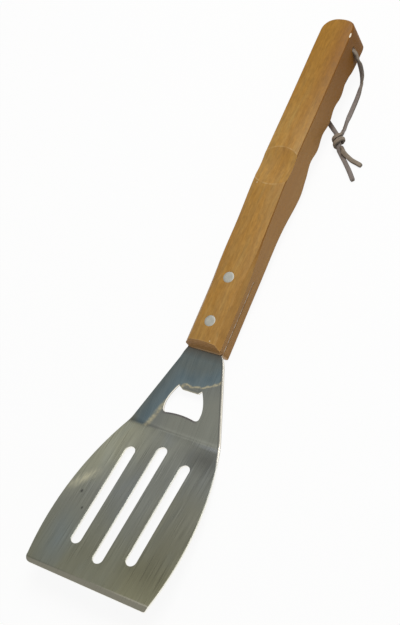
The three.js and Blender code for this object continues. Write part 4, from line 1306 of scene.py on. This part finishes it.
# %% Leather lacing
FIBRE = (5, 0.35, 0.5)
WRINKLE = (1.1, 2.5, 2.5)
leather, tree, surface = new_finish("leather_lacing", "#736A62")
chart = add(tree, "SeparateXYZ", add(tree, "UVMap", uv_map="along_strip")).node.outputs
length = add(tree, "Math", chart["X"], 1 / MM, operation="MULTIPLY")
turn = add(tree, "Math", chart["Y"], 2 * math.pi, operation="MULTIPLY")
across = add(tree, "Math", turn, operation="COSINE")
up = add(tree, "Math", turn, operation="SINE")
place = add(tree, "CombineXYZ", length, across, up)
fibres = grain(tree, place, FIBRE, 3.0)
wrinkles = grain(tree, place, WRINKLE)
hide = add(tree, "Mix", add(tree, "MapRange", up, -0.3, 0.3), "#837769", "#7E756F", data_type="RGBA")
edge = add(tree, "MapRange", add(tree, "Math", across, operation="ABSOLUTE"), 0.76, 1.0, 0.0, 0.5)
hide = add(tree, "Mix", edge, hide, "#5C5248", data_type="RGBA")
for tone in ((fibres, *LUMPS, 0.84, 1.16), (wrinkles, *LUMPS, 0.88, 1.1)):
    hide = add(tree, "VectorMath", hide, add(tree, "MapRange", *tone), operation="SCALE")
relief = add(tree, "Bump", 0.5, 0.0002)
feed(tree, relief.node.inputs["Height"], fibres)
wear(leather, surface, {
    "Base Color": hide,
    "Roughness": 0.75,
    "Specular IOR Level": 0.25,
    "Normal": relief,
}, right_lace, left_lace)

# %% [markdown]
# The table is a wide pale sheet, and the light is plain soft studio light: one large softbox above
# and behind the handle, so that the handle's near side and its front end stay darker than its top,
# and a grey room that the steel mirrors. The camera sees the sheet as white, with its shadow kept.

# %% Floor
FLOOR_SIZE = 6
FLOOR_GLOW = 0.92
bpy.ops.object.select_all(action="DESELECT")
bpy.ops.mesh.primitive_plane_add(size=FLOOR_SIZE)
floor = bpy.context.object
floor.name = "pale_floor"
paper, tree, surface = new_finish("white_paper", "#E8E8E6")
ray = add(tree, "LightPath").node.outputs
seen = ray["Is Camera Ray"]
for kind in ("Is Transmission Ray", "Is Glossy Ray"):
    seen = add(tree, "Math", seen, ray[kind], operation="MAXIMUM")
lit = add(tree, "Math", seen, FLOOR_GLOW, operation="MULTIPLY")
glow = add(tree, "Emission", "#FFFFFF", 1.0)
mixed = add(tree, "MixShader", lit, surface.outputs["BSDF"], glow)
feed(tree, tree.nodes["Material Output"].inputs["Surface"], mixed)
wear(paper, surface, {"Base Color": "#E8E8E6", "Roughness": 0.9, "Specular IOR Level": 0.0}, floor)

# %% Light
SOFTBOX_AT = Vector((-0.76, 0.28, 1.38))
SOFTBOX_SIZE = 0.9
SOFTBOX_WATTS = 20
ROOM_GREY = (0.36, 0.36, 0.35, 1)
bpy.ops.object.light_add(type="AREA", location=SOFTBOX_AT)
softbox = bpy.context.object
softbox.name = "softbox"
softbox.data.shape = "SQUARE"
softbox.data.size = SOFTBOX_SIZE
softbox.data.energy = SOFTBOX_WATTS
softbox.rotation_mode = "QUATERNION"
softbox.rotation_quaternion = (-SOFTBOX_AT).to_track_quat("-Z", "Y")
room = bpy.data.worlds.new("grey_room")
room.use_nodes = True
room.node_tree.nodes["Background"].inputs["Color"].default_value = ROOM_GREY
room.node_tree.nodes["Background"].inputs["Strength"].default_value = 1.0
bpy.context.scene.world = room
bpy.context.scene.view_settings.view_transform = "Standard"
print("softbox", softbox.data.energy, "W")
